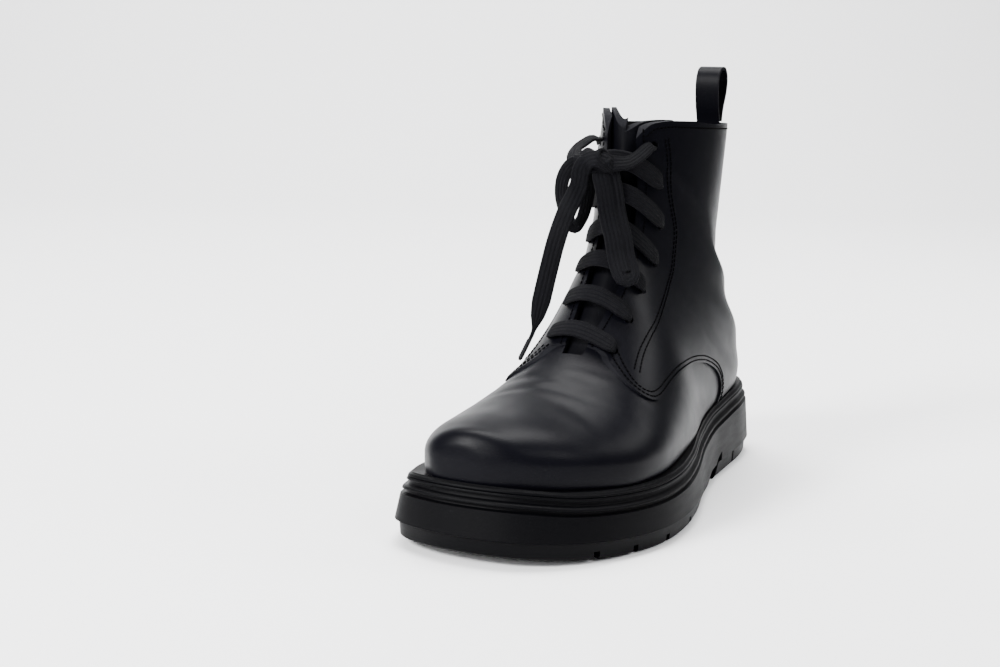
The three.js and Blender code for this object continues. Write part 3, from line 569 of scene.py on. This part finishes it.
def smooth_leather(name, roughness, shade=1.0):
    """Leather with grain, pores and worn patches; a shade below 1 darkens its colour as painted shade."""
    colour = [c * shade for c in settings().leather_colour]
    material, tree, shader, where = node_material(name, colour, roughness, settings().leather_gloss)
    broad = noise(tree, where, 28, 4)
    grain = noise(tree, where, 1500, 4)
    pores = add(tree, "ShaderNodeTexVoronoi", {"Vector": where, "Scale": 900}, feature="DISTANCE_TO_EDGE")
    worn = noise(tree, where, 90, 6)
    tree.links.new(ranged(tree, worn, roughness - 0.02, roughness + 0.03), shader.inputs["Roughness"])
    tinted(tree, shader, broad, colour, 0.9, 1.15)
    normal = bump(tree, grain, 0.16, 0.0002)
    normal = bump(tree, ranged(tree, pores.outputs["Distance"], 0, 1, 0, 0.12), 0.1, 0.0002, normal)
    tree.links.new(bump(tree, broad, 0.03, 0.002, normal), shader.inputs["Normal"])
    return material


def fibrous(name, colour, roughness, gloss, weave, strength, depth, patches, dark, light):
    """Cloth or a cut edge: a fine weave, and a colour that drifts with it or in larger patches."""
    material, tree, shader, where = node_material(name, colour, roughness, gloss)
    fibre = noise(tree, where, *weave)
    drift = noise(tree, where, *patches) if patches else fibre
    tree.links.new(bump(tree, fibre, strength, depth), shader.inputs["Normal"])
    tinted(tree, shader, drift, colour, dark, light)
    return material


def cut_edge(name):
    return fibrous(name, settings().edge_colour, 0.6, 0.04, (2500, 4), 0.4, 0.0003, None, 0.7, 1.4)


def lining_cloth(name, colour, scale=700):
    return fibrous(name, colour, 0.85, 0.1, (scale, 2), 0.35, 0.0004, (40, 3), 0.8, 1.3)


def moulded_rubber(name, roughness):
    """Rubber with fine grain and streaky scuffs."""
    colour = settings().sole_colour
    material, tree, shader, where = node_material(name, colour, roughness, 0.05)
    fine = noise(tree, where, 1400, 5)
    broad = noise(tree, where, 35, 5)
    scuffs = noise(tree, where, 130, 6, (0.35, 0.35, 2.2))
    tree.links.new(ranged(tree, scuffs, roughness - 0.02, roughness + 0.04), shader.inputs["Roughness"])
    tinted(tree, shader, broad, colour, 0.85, 1.25)
    normal = bump(tree, fine, 0.22, 0.0003)
    tree.links.new(bump(tree, scuffs, 0.015, 0.001, normal), shader.inputs["Normal"])
    return material


def woven_lace(name):
    """Flat braid: the weave follows the ribbon's own UV map, in metres. Its colour is darker between the ribs
    and lighter on their crests, as painted shade and painted highlight.
    """
    colour = settings().lace_colour
    braid_half, slant, rib_pitch, cord_pitch = 1.1, 0.9, 0.8, 2.2
    material, tree, shader, where = node_material(name, colour, 0.8, 0.08)
    spot = add(tree, "ShaderNodeUVMap", uv_map="ribbon").outputs["UV"]
    mapping = add(tree, "ShaderNodeMapping", {"Vector": spot, "Scale": (1 / MM, 1 / MM, 1)})
    split = add(tree, "ShaderNodeSeparateXYZ", {"Vector": mapping.outputs["Vector"]})
    across = maths(tree, "PINGPONG", split.outputs["Y"], braid_half)
    ribs = maths(tree, "MULTIPLY_ADD", across, slant, split.outputs["X"])
    wave = maths(tree, "SINE", maths(tree, "MULTIPLY", ribs, 2 * math.pi / rib_pitch))
    braid = ranged(tree, wave, 0, 1, -1, 1)
    # Painted shade and highlight: the colour follows the rib wave, darker in the hollows between the ribs and
    # lighter on their crests
    tinted(tree, shader, braid, colour, 0.3, 2.6)
    row = maths(tree, "COSINE", maths(tree, "MULTIPLY", split.outputs["Y"], 2 * math.pi / cord_pitch))
    normal = bump(tree, row, 0.6, 0.0004)
    normal = bump(tree, braid, 0.7, 0.0005, normal)
    tree.links.new(bump(tree, noise(tree, where, 3000, 2), 0.3, 0.0003, normal), shader.inputs["Normal"])
    return material


def plain_finish(name, colour, roughness, grain_scale=900, gloss=0.1):
    """One colour with a fine grain."""
    material, tree, shader, where = node_material(name, colour, roughness, gloss)
    grain = noise(tree, where, grain_scale, 3)
    tree.links.new(bump(tree, grain, 0.2, 0.0002), shader.inputs["Normal"])
    tree.links.new(ranged(tree, grain, roughness - 0.05, roughness + 0.05), shader.inputs["Roughness"])
    return material


def boot_material(key):
    """Each finish is made once."""
    if key in bpy.data.materials:
        return bpy.data.materials[key]
    s = settings()
    makers = {
        "worn_leather": lambda: smooth_leather(key, s.leather_roughness),
        # The tongue's leather is the upper's colour at 0.8 of its brightness: painted shade of the throat
        # where the tongue lies
        "shaded_padded_leather": lambda: smooth_leather(key, 0.5, 0.8),
        "strap_leather": lambda: smooth_leather(key, 0.42, 1.0),
        "leather_edge": lambda: cut_edge(key),
        "lining": lambda: lining_cloth(key, (0.003, 0.003, 0.0036)),
        "insole_cover": lambda: lining_cloth(key, (0.0035, 0.0035, 0.004), 1200),
        "tread_rubber": lambda: moulded_rubber(key, s.sole_roughness),
        "lace_braid": lambda: woven_lace(key),
        "thread": lambda: plain_finish(key, s.thread_colour, 0.75, 2500, 0.02),
        "aglet_plastic": lambda: plain_finish(key, (0.01, 0.01, 0.011), 0.25),
        "floor": lambda: plain_finish(key, s.floor_colour, 0.9, 60),
    }
    return makers[key]()


# Forms

def upper_form(name, out, mesh, material, creased=False):
    """The whole upper as one closed form, at a distance out from its own surface."""
    sections, around = mesh
    place = np.linspace(0, len(UPPER) - 1, sections + 1)[:, None]
    turn = (2 * math.pi * np.arange(around) / around)[None, :]
    spread = np.full((sections + 1, around), float(out))
    return lofted(name, upper_offset(place, turn, spread, creased), [material])


def under_bed(gap, material):
    """Everything below the foot bed."""
    steps = SOLE_LENGTH * np.linspace(0.5, -0.5, 81)
    top = [(y, float(bed(y)) + gap) for y in steps]
    return side_block("under_bed", top + [(-SOLE_LENGTH / 2, -SOLE_LENGTH), (SOLE_LENGTH / 2, -SOLE_LENGTH)],
                      -SOLE_WIDTH, SOLE_WIDTH, [material])


def over_collar(lift, material):
    """Everything above the collar, which rises on the inner side."""
    def half(rise, x0):
        points = [(0, r[0] * SOLE_LENGTH, (r[1] + rise * r[2]) * COLLAR_HEIGHT + lift) for r in COLLAR_LINE]
        line = [(y, z) for _, y, z in smooth_line(points, samples=8)]
        ends = [(SOLE_LENGTH, 2 * COLLAR_HEIGHT), (-SOLE_LENGTH, 2 * COLLAR_HEIGHT)]
        return side_block("over_collar", line + ends, x0, SOLE_WIDTH, [material])
    return [half(0, COLLAR_SPLIT * SOLE_WIDTH), half(1, -SOLE_WIDTH)]


def quarter_block(material):
    """Side view of the quarters, behind their edge."""
    edge = even_line([(0, y * SOLE_LENGTH, z * COLLAR_HEIGHT) for y, z in QUARTER_EDGE[:-2]], 120)
    line = [(y, z) for _, y, z in edge] + [(0.2 * SOLE_LENGTH, 0.18 * COLLAR_HEIGHT), (0.2 * SOLE_LENGTH, 0)]
    ends = [(SOLE_LENGTH, 0), (SOLE_LENGTH, 2 * COLLAR_HEIGHT), (-0.3 * SOLE_LENGTH, 2 * COLLAR_HEIGHT)]
    return side_block("quarter_block", line + ends, -SOLE_WIDTH, SOLE_WIDTH, [material])


def throat_half(share):
    """Half the throat's width on its way up."""
    return THROAT_WIDTH / 2 * np.minimum(1, 0.55 + 3 * share) * (1 - THROAT_TAPER * share)


def throat_slot(material):
    """Slot along the front line, through the upper's wall."""
    share = np.linspace(0, 1, 61)
    place = THROAT_START + (len(UPPER) - 1 - THROAT_START) * share
    middle = upper_offset(place, 0.0, np.zeros_like(share))
    out = upper_offset(place, 0.0, np.ones_like(share)) - middle
    high, low = middle + out * 6 * WALL, middle - out * 12 * WALL
    side = throat_half(share)[:, None] * np.array([1.0, 0, 0])
    rings = np.stack([high + side, high - side, low - side, low + side], axis=1)
    return lofted("throat_slot", rings, [material])


def turn_at(place, across):
    """Turn at which the section is a distance out to the side of the front line."""
    middle = upper_point(place, 0.0)[0]
    near, far = 0.0, math.pi / 2
    sign = math.copysign(1, across)
    for _ in range(30):
        turn = (near + far) / 2
        if abs(upper_point(place, sign * turn)[0] - middle) < abs(across):
            near = turn
        else:
            far = turn
    return sign * near


def eyelet_places():
    """Both rows of eyelets, evenly spaced along the facings."""
    def spread(place):
        return EYELET_SPREAD * (1 - EYELET_TAPER * (place - FIRST_ROW) / (LAST_ROW - FIRST_ROW))
    places = np.linspace(FIRST_ROW, LAST_ROW, 81)
    line = np.array([upper_point(p, turn_at(p, spread(p) / 2)) for p in places])
    length = distances(line)
    rows = np.interp(np.linspace(0, length[-1], EYELET_ROWS), length, places)
    pairs = [((p, 1), (min(p + INNER_RAISE, LAST_ROW + 0.1), -1)) for p in rows]
    return [[(p, turn_at(p, side * spread(p) / 2)) for p, side in pair] for pair in pairs]


def tube(name, centres, radii, axis, count, material):
    """Closed round skin along centres, in millimetres, with rings square to the axis."""
    side = axis.orthogonal().normalized()
    up = axis.cross(side)
    rings = []
    for centre, radius in zip(centres, radii):
        rings.append([centre + radius * (math.cos(a) * side + math.sin(a) * up)
                      for a in np.linspace(0, 2 * math.pi, count, endpoint=False)])
    return lofted(name, rings, [material])


def eyelet_tool(place, turn, material):
    """Rod through the wall at an eyelet."""
    ends = [Vector(upper_offset(place, turn, out)) for out in (-3 * WALL, 2 * WALL)]
    axis = (ends[1] - ends[0]).normalized()
    return tube("eyelet_tool", ends, [EYELET_BORE / 2] * 2, axis, 24, material)


def sole_rim():
    """Points around the sole's edge, and the way out at each."""
    points = [(c * SOLE_WIDTH, a * SOLE_LENGTH, 0) for a, c in OUTLINE]
    rim = even_line(points, RIM_POINTS + 1, closed=True)[:-1]
    along = np.roll(rim, -1, axis=0) - np.roll(rim, 1, axis=0)
    out = unit(np.stack([along[:, 1], -along[:, 0]], axis=1))
    out *= np.sign((out * rim[:, :2]).sum(axis=1, keepdims=True))
    return rim[:, :2], out


def sole_rings(rim, out):
    """Rings of the sole's side, from the tread up to the foot bed."""
    flare = lookup(BED, 2, rim[:, 1] / SOLE_LENGTH)
    low, high = rounded(SIDE_LOW, 0.5), rounded(SIDE_HIGH, 0.45)
    rings = []
    for table, sign, base in ((low, 1, tread(rim[:, 1])), (high, -1, bed(rim[:, 1]))):
        for inset, up in table:
            flat = rim - out * (inset * flare)[:, None]
            rings.append(np.column_stack([flat, base + sign * up]))
    rings[-1][:, 2] = bed(rings[-1][:, 1])
    return rings


def smooth_copy(node, name, material):
    """The CAD part's own mesh, welded and shaded smooth."""
    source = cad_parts[node]
    mesh = source.data.copy()
    mesh.transform(source.matrix_world)
    bm = bmesh.new()
    bm.from_mesh(mesh)
    bmesh.ops.remove_doubles(bm, verts=bm.verts, dist=1e-6)
    bm.to_mesh(mesh)
    bm.free()
    mesh.materials.clear()
    mesh.materials.append(material)
    piece = placed(name, mesh)
    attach(piece, "root")
    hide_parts(node)
    return finish_edges(piece, 40)


# Ribbons and cords

def ribbon(name, path, hints, width, thickness, material, taper=None):
    """Flat braid along a path, in metres; hints point out of its face."""
    path = np.asarray(path)
    n = len(path)
    along = unit(np.gradient(path, axis=0))
    side = unit(np.cross(np.broadcast_to(hints, path.shape), along))
    face = np.cross(along, side)
    section = [(1.0, 0.0), (0.93, 0.75), (0.6, 1.0), (0.0, 1.08), (-0.6, 1.0), (-0.93, 0.75), (-1.0, 0.0),
               (-0.93, -0.75), (-0.6, -1.0), (0.0, -1.08), (0.6, -1.0), (0.93, -0.75)]
    grow = np.ones(n) if taper is None else np.asarray(taper)
    verts = [path[i] + side[i] * a * width / 2 * grow[i] + face[i] * b * thickness / 2
             for i in range(n) for a, b in section]
    k = len(section)
    faces = ring_faces(n, k) + [list(range(k))[::-1], list(range((n - 1) * k, n * k))]
    piece = mesh_object(name, verts, faces, [material])
    length = distances(path)
    layer = piece.data.uv_layers.new(name="ribbon")
    for loop in piece.data.loops:
        i, j = divmod(loop.vertex_index, k)
        layer.data[loop.index].uv = (length[i], section[j][0] * width / 2)
    return piece


def free_lace(name, points, faces, replaced, taper=None):
    """One cord: its route, which way its face looks and how wide it is along its way."""
    s = settings()
    path = even_line(points, LACE_STEPS)
    share = np.linspace(0, 1, LACE_STEPS)
    facing = sampled(share, np.linspace(0, 1, len(faces)), faces)
    shape = None if taper is None else np.interp(share, *zip(*taper))
    piece = ribbon(name, path, facing, s.lace_width, s.lace_thickness, boot_material("lace_braid"), shape)
    length = distances(smooth_line(points))[-1]
    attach(piece, "root")
    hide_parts(*replaced)


def stitch_tree():
    """Geometry Nodes: a short thread on each step of a line."""
    tree = bpy.data.node_groups.new("stitch_row", "GeometryNodeTree")
    face = tree.interface
    face.new_socket("Geometry", in_out="INPUT", socket_type="NodeSocketGeometry")
    for name in ("Pitch", "Thread", "Stitch length"):
        face.new_socket(name, in_out="INPUT", socket_type="NodeSocketFloat")
    face.new_socket("Material", in_out="INPUT", socket_type="NodeSocketMaterial")
    face.new_socket("Geometry", in_out="OUTPUT", socket_type="NodeSocketGeometry")
    given = add(tree, "NodeGroupInput").outputs
    points = add(tree, "GeometryNodeResampleCurve", {"Curve": given["Geometry"], "Length": given["Pitch"]},
                 mode="LENGTH")
    tangent = add(tree, "GeometryNodeInputTangent").outputs["Tangent"]
    align = add(tree, "FunctionNodeAlignRotationToVector", {"Vector": tangent}, axis="Z")
    radius = maths(tree, "MULTIPLY", given["Thread"], 0.5)
    thread = add(tree, "GeometryNodeMeshCylinder",
                 {"Vertices": 8, "Radius": radius, "Depth": given["Stitch length"]})
    placing = {"Points": points.outputs["Curve"], "Instance": thread.outputs["Mesh"],
               "Rotation": align.outputs["Rotation"]}
    place = add(tree, "GeometryNodeInstanceOnPoints", placing)
    real = add(tree, "GeometryNodeRealizeInstances", {"Geometry": place.outputs["Instances"]})
    paint = add(tree, "GeometryNodeSetMaterial",
                {"Geometry": real.outputs["Geometry"], "Material": given["Material"]})
    add(tree, "NodeGroupOutput", {"Geometry": paint.outputs["Geometry"]})
    return tree


def stitch_rows(name, lines, on):
    """Thread along lines of points, set on a piece from the side named or at the nearest spot."""
    away, lift = 0.12, 0.00005
    surface = BVHTree.FromPolygons([v.co for v in on.data.vertices],
                                   [p.vertices[:] for p in on.data.polygons])
    curve = bpy.data.curves.new(name, "CURVE")
    curve.dimensions = "3D"
    for line, sign in lines:
        path = even_line(np.asarray(line) * MM, 160)
        if sign:
            spots = [surface.ray_cast(Vector((sign * away, p[1], p[2])), Vector((-sign, 0, 0))) for p in path]
        else:
            spots = [surface.find_nearest(Vector(p)) for p in path]
        spots = [spot for spot in spots if spot[0] is not None]
        spline = curve.splines.new("POLY")
        spline.points.add(len(spots) - 1)
        for point, (spot, normal, _, _) in zip(spline.points, spots):
            point.co = (*(spot + normal * lift), 1)
    piece = placed(name, curve)
    tree = bpy.data.node_groups.get("stitch_row") or stitch_tree()
    change = piece.modifiers.new("stitches", "NODES")
    change.node_group = tree
    values = {"Pitch": settings().stitch_pitch, "Thread": settings().stitch_thread,
              "Stitch length": settings().stitch_length, "Material": boot_material("thread")}
    for socket in tree.interface.items_tree:
        if socket.in_out == "INPUT" and socket.name in values:
            change[socket.identifier] = values[socket.name]
    mesh = bpy.data.meshes.new_from_object(piece.evaluated_get(bpy.context.evaluated_depsgraph_get()))
    bpy.data.objects.remove(piece)
    row = placed(name, mesh)
    if not mesh.materials:
        mesh.materials.append(boot_material("thread"))
    mesh.polygons.foreach_set("use_smooth", [True] * len(mesh.polygons))
    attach(row, "root")
    return row


def beside(line, inset):
    """A line in side view, moved square to its own run."""
    along = unit(np.gradient(line, axis=0))
    return line + np.stack([-along[:, 1], along[:, 0]], axis=1) * inset


def length_setting(name, description, default):
    return bpy.props.FloatProperty(name=name, description=description, default=default, unit="LENGTH")


def plain_setting(name, description, default):
    return bpy.props.FloatProperty(name=name, description=description, default=default)


def colour_setting(name, description, default):
    return bpy.props.FloatVectorProperty(name=name, description=description, default=default,
                                         subtype="COLOR")


class BootSettings(bpy.types.PropertyGroup):
    """Sizes and colours of the boot's finish"""
    lace_width: length_setting("Lace width", "Across the flat lace", 0.0101)
    lace_thickness: length_setting("Lace thickness", "Through the flat lace", 0.0019)
    stitch_pitch: length_setting("Stitch pitch", "From stitch to stitch", 0.0026)
    stitch_length: length_setting("Stitch length", "Length of one stitch", 0.0019)
    stitch_thread: length_setting("Thread", "Thickness of the thread", 0.0008)
    crease_share: plain_setting("Creases", "How deep the creases are", 1.0)
    leather_gloss: plain_setting("Leather gloss", "Strength of the leather's shine", 0.05)
    leather_roughness: plain_setting("Leather roughness", "Gloss of the upper", 0.35)
    sole_roughness: plain_setting("Sole roughness", "Gloss of the sole", 0.5)
    leather_colour: colour_setting("Leather", "Colour of the leather", (0.0018, 0.0018, 0.0030))
    edge_colour: colour_setting("Cut edge", "Colour of the leather's cut edges", (0.005, 0.005, 0.0065))
    sole_colour: colour_setting("Sole", "Colour of the rubber", (0.0008, 0.0008, 0.0012))
    lace_colour: colour_setting("Lace", "Colour of the braid", (0.0016, 0.0016, 0.0024))
    thread_colour: colour_setting("Thread colour", "Colour of the stitches", (0.0005, 0.0005, 0.0007))
    floor_colour: colour_setting("Floor", "Colour of the floor and backdrop", (0.93, 0.93, 0.935))


class BOOT_OT_stage(bpy.types.Operator):
    """Sets the camera, the pale floor and the soft lights"""
    bl_idname = "boot.stage"
    bl_label = "Stage"

    def execute(self, context):
        camera = placed("camera", bpy.data.cameras.new("camera"))
        camera.data.lens = CAMERA_LENS
        camera.data.sensor_width = 36
        turn = Matrix([CAMERA_RIGHT, CAMERA_UP, [-v for v in CAMERA_AHEAD]]).transposed()
        camera.matrix_world = Matrix.Translation(Vector(CAMERA_EYE)) @ turn.to_4x4()
        context.scene.camera = camera

        ahead = Vector((CAMERA_AHEAD[0], CAMERA_AHEAD[1], 0)).normalized()
        across = Vector((ahead.y, -ahead.x, 0))
        profile = [(FLOOR_NEAR, 0.0), (FLOOR_BEND, 0.0)]
        profile += [(FLOOR_BEND + FLOOR_CURVE * math.sin(a), FLOOR_CURVE - FLOOR_CURVE * math.cos(a))
                    for a in np.linspace(0.1, math.pi / 2, 12)]
        profile += [(FLOOR_BEND + FLOOR_CURVE, FLOOR_TOP)]
        verts = [ahead * d + across * w + Vector((0, 0, h - FLOOR_SINK))
                 for d, h in profile for w in (FLOOR_LEFT, FLOOR_RIGHT + FLOOR_WIDENING * d)]
        faces = [(2 * i, 2 * i + 1, 2 * i + 3, 2 * i + 2) for i in range(len(profile) - 1)]
        floor = mesh_object("floor", verts, faces, [boot_material("floor")])

        for name, place, target, size, power in LIGHTS:
            lamp = bpy.data.lights.new(name, "AREA")
            lamp.shape = "RECTANGLE"
            lamp.size, lamp.size_y = size
            lamp.energy = power
            holder = placed(name, lamp)
            holder.location = place
            holder.rotation_euler = (Vector(target) - Vector(place)).to_track_quat("-Z", "Y").to_euler()
        world = bpy.data.worlds.new("studio")
        world.use_nodes = True
        world.node_tree.nodes["Background"].inputs["Color"].default_value = (0.95, 0.96, 1.0, 1)
        world.node_tree.nodes["Background"].inputs["Strength"].default_value = 0.3
        context.scene.world = world
        return {"FINISHED"}


class BOOT_OT_free_lace(bpy.types.Operator):
    """Makes the knot, its loops and the hanging end of the lace"""
    bl_idname = "boot.free_lace"
    bl_label = "Free lace"

    def execute(self, context):
        s = settings()
        braid = boot_material("lace_braid")
        angle = np.linspace(0, 2 * math.pi, 33)
        turns = []
        for k, (shift, lean, twist) in enumerate(KNOT_TURNS):
            around = np.stack([lean * np.cos(angle) + twist * np.sin(angle), KNOT_DEPTH * np.sin(angle),
                               KNOT_RISE * np.cos(angle)], axis=1)
            middle = np.array(KNOT_MIDDLE) + (shift, 0, 0)
            turns.append(ribbon(f"lace_wrap_{k + 1}", middle + around, around, s.lace_width,
                                s.lace_thickness, braid))
        core = ribbon("lace_knot_core", even_line(KNOT_ROUTE, 20), (0, -0.3, 1), *KNOT_CORE_SIZE, braid)
        share = np.linspace(0, 1, STRAP_STEPS)
        face = np.linspace(*STRAP_FACES, STRAP_STEPS) + np.outer(np.sin(math.pi * share), STRAP_CROWN)
        strap = ribbon("lace_strap", even_line(STRAP_ROUTE, STRAP_STEPS), face, s.lace_width * STRAP_WIDTH,
                       s.lace_thickness, braid, np.interp(share, *zip(*STRAP_TAPER)))
        knot = [core, strap, *turns]
        for piece in knot:
            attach(piece, "root")
            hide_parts("lace_knot")
        tip = even_line(END_ROUTE[-3:], 24)[5:]
        axis = Vector(tip[-1] - tip[-2]).normalized()
        aglet = tube("lace_aglet", [Vector(p) / MM for p in tip], AGLET_RADII, axis, 14,
                     boot_material("aglet_plastic"))
        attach(aglet, "root")
        free_lace("lace_outer_end", OUTER_RUN + END_ROUTE, OUTER_FACES,
                  ["lace_run_outer", "lace_end"],
                  taper=END_TAPER)
        route = np.vstack([INNER_RUN, LONG_LOOP + LOOP_FRONT, LONG_LOOP[-1] + LOOP_FOLD,
                           (LONG_LOOP + LOOP_REAR)[::-1], LOOP_END])
        free_lace("lace_inner_loop", route, INNER_FACES,
                  ["lace_run_inner", "lace_loop_outer"])
        free_lace("lace_small_loop", SMALL_LOOP, SMALL_FACES, ["lace_loop_inner"],
                  taper=SMALL_TAPER)
        return {"FINISHED"}


class BOOT_OT_lace_bars(bpy.types.Operator):
    """Makes the straight bars of lace between the eyelets"""
    bl_idname = "boot.lace_bars"
    bl_label = "Lace bars"

    def execute(self, context):
        s = settings()
        rest = QUARTER_STEP + BAR_CLEAR + BAR_HALF
        share = np.linspace(0, 1, BAR_STEPS)
        near = np.clip((np.minimum(share, 1 - share) - 0.08) / 0.14, 0, 1)
        taper = 0.36 + 0.64 * np.sqrt(1 - (1 - near) ** 2)
        for row, (outer, inner) in enumerate(eyelet_places()[:-1]):
            points, ups = [], []
            for across, height in BAR_STATIONS:
                place, turn = (a + (b - a) * across for a, b in zip(outer, inner))
                points.append(upper_offset(place, turn, rest + height) * MM)
                below, above = (upper_offset(place + k, turn, rest) for k in (-0.05, 0.05))
                ups.append(unit(above - below))
            path = even_line(points, BAR_STEPS)
            hints = np.cross(np.gradient(path, axis=0), sampled(share, np.linspace(0, 1, len(ups)), ups))
            bar = ribbon(f"lace_braid_{row + 1}", path, hints, s.lace_width, s.lace_thickness,
                         boot_material("lace_braid"), taper)
            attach(bar, "root")
            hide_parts(f"lace_bar_{row + 1}")
        return {"FINISHED"}


class BOOT_OT_upper(bpy.types.Operator):
    """Makes the leather upper with its lining, facings, eyelets and creases"""
    bl_idname = "boot.upper"
    bl_label = "Upper"

    def execute(self, context):
        leather, lining, edge = (boot_material(k) for k in ("worn_leather", "lining", "leather_edge"))
        shell = upper_form("leather_upper", 0, UPPER_MESH, leather, creased=True)
        quarters = upper_form("quarters", QUARTER_STEP, UPPER_MESH, leather, creased=True)
        carve(quarters, quarter_block(edge), "INTERSECT")
        carve(shell, quarters, "UNION")
        carve(shell, upper_form("inside", -WALL, LINING_MESH, lining))
        carve(shell, under_bed(SEAT_GAP, lining))
        for half in over_collar(0, edge):
            carve(shell, half)
        carve(shell, throat_slot(edge))
        for pair in eyelet_places():
            for place, turn in pair:
                carve(shell, eyelet_tool(place, turn, edge))
        finish_edges(shell)
        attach(shell, "root")
        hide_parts("upper")
        return {"FINISHED"}


class BOOT_OT_tongue(bpy.types.Operator):
    """Makes the tongue and covers the insole"""
    bl_idname = "boot.tongue"
    bl_label = "Tongue and insole"

    def execute(self, context):
        rows, across = TONGUE_MESH
        crown = np.abs(np.linspace(-1, 1, across))
        thin = TONGUE_THICKNESS * np.sqrt(np.clip(1 - 0.7 * crown ** 8, 0.1, 1))
        rings = []
        for place in np.linspace(TONGUE_START, len(UPPER) - 1, rows):
            turns = np.linspace(turn_at(place, TONGUE_WIDTH / 2), turn_at(place, -TONGUE_WIDTH / 2), across)
            outer = upper_offset(place, turns, np.full(across, -WALL - TONGUE_GAP))
            inner = upper_offset(place, turns, -WALL - TONGUE_GAP - thin)
            rings.append(np.vstack([outer, inner[::-1]]))
        # The tongue gets the darkened leather: painted shade of the throat
        tongue = lofted("leather_tongue", rings, [boot_material("shaded_padded_leather")], strips=1)
        for half in over_collar(TONGUE_LIFT, boot_material("leather_edge")):
            carve(tongue, half)
        finish_edges(tongue)
        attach(tongue, "root")
        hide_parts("tongue")
        insole = smooth_copy("insole", "insole_sheet", boot_material("insole_cover"))
        return {"FINISHED"}


class BOOT_OT_sole(bpy.types.Operator):
    """Makes the moulded rubber sole with its beads, arch, notches and lugs"""
    bl_idname = "boot.sole"
    bl_label = "Sole"

    def execute(self, context):
        rubber = boot_material("tread_rubber")
        rim, out = sole_rim()
        sole = lofted("rubber_sole", sole_rings(rim, out), [rubber], strips=0)
        arch = [(a * SOLE_LENGTH, u * HEEL_HEIGHT) for a, u in rounded(ARCH, 0.01)]
        carve(sole, side_block("arch", arch, -SOLE_WIDTH, SOLE_WIDTH, [rubber]))
        for along in SIDE_NOTCHES:
            for side in (1, -1):
                y = along * SOLE_LENGTH
                k = int(np.where(rim[:, 0] * side > 0, np.abs(rim[:, 1] - y), np.inf).argmin())
                carve(sole, groove(rim[k, 0], y, math.atan2(out[k, 1], out[k, 0]), NOTCH_SIZE, rubber))
        share, *section = LUG_GROOVE_SIZE
        for along, across in LUG_GROOVES:
            for side in (1, -1):
                carve(sole, groove(side * across * SOLE_WIDTH / 2, along * SOLE_LENGTH, side * 0.35,
                                   (across * SOLE_WIDTH * share, *section), rubber))
        across, along = HEEL_GROOVE_PLACE
        for side in (1, -1):
            carve(sole, groove(side * across * SOLE_WIDTH, along * SOLE_LENGTH, 0, HEEL_GROOVE_SIZE, rubber))
        finish_edges(sole, 30)
        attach(sole, "root")
        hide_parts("sole")
        return {"FINISHED"}


class BOOT_OT_pull_loop(bpy.types.Operator):
    """Finishes the leather pull loop at the back"""
    bl_idname = "boot.pull_loop"
    bl_label = "Pull loop"

    def execute(self, context):
        loop = smooth_copy("pull_loop", "leather_pull_loop", boot_material("strap_leather"))
        return {"FINISHED"}


class BOOT_OT_stitching(bpy.types.Operator):
    """Sews the rows of stitches along the quarters, facings and collar"""
    bl_idname = "boot.stitching"
    bl_label = "Stitching"

    def execute(self, context):
        shell = bpy.data.objects["leather_upper"]
        wing = np.array([(y * SOLE_LENGTH, z * COLLAR_HEIGHT) for y, z in QUARTER_EDGE[1:-2]])
        rows = []
        for line, insets in ((SWING_LINE, SWING_ROWS), (wing, WING_ROWS)):
            for inset in insets:
                for sign in (1, -1):
                    rows.append(([(0, y, z) for y, z in beside(line, inset)], sign))
        for sign in (1, -1):
            facing = []
            for place in np.linspace(THROAT_START + 0.4, 18.9, 30):
                share = (place - THROAT_START) / (len(UPPER) - 1 - THROAT_START)
                turn = turn_at(place, sign * (throat_half(share) + FACING_ROW))
                facing.append(upper_offset(place, turn, QUARTER_STEP))
            rows.append((facing, 0))
            rise = 1 if sign < 0 else 0
            edge = np.array([(y * SOLE_LENGTH, (z + rise * more) * COLLAR_HEIGHT)
                             for y, z, more in COLLAR_LINE[3:-1]])
            rows.append(([(0, y, z) for y, z in beside(edge, -COLLAR_ROW)], sign))
        stitch_rows("upper_stitches", rows, shell)
        return {"FINISHED"}


class BOOT_PT_panel(bpy.types.Panel):
    """Lists the boot's pieces"""
    bl_idname = "BOOT_PT_panel"
    bl_label = "Combat Boot"
    bl_space_type = "VIEW_3D"
    bl_region_type = "UI"
    bl_category = "Boot"

    def draw(self, context):
        for name in BootSettings.__annotations__:
            self.layout.prop(context.scene.boot_settings, name)
        for operator in OPERATORS:
            self.layout.operator(operator.bl_idname)


OPERATORS = (BOOT_OT_stage, BOOT_OT_free_lace, BOOT_OT_lace_bars, BOOT_OT_upper, BOOT_OT_tongue, BOOT_OT_sole,
             BOOT_OT_pull_loop, BOOT_OT_stitching)
CLASSES = (BootSettings, *OPERATORS, BOOT_PT_panel)


def register():
    for item in CLASSES:
        bpy.utils.register_class(item)
    bpy.types.Scene.boot_settings = bpy.props.PointerProperty(type=BootSettings)


def unregister():
    del bpy.types.Scene.boot_settings
    for item in reversed(CLASSES):
        bpy.utils.unregister_class(item)


def main():
    register()
    for operator in OPERATORS:
        space, name = operator.bl_idname.split(".")
        getattr(getattr(bpy.ops, space), name)()


if __name__ == "__main__":
    main()
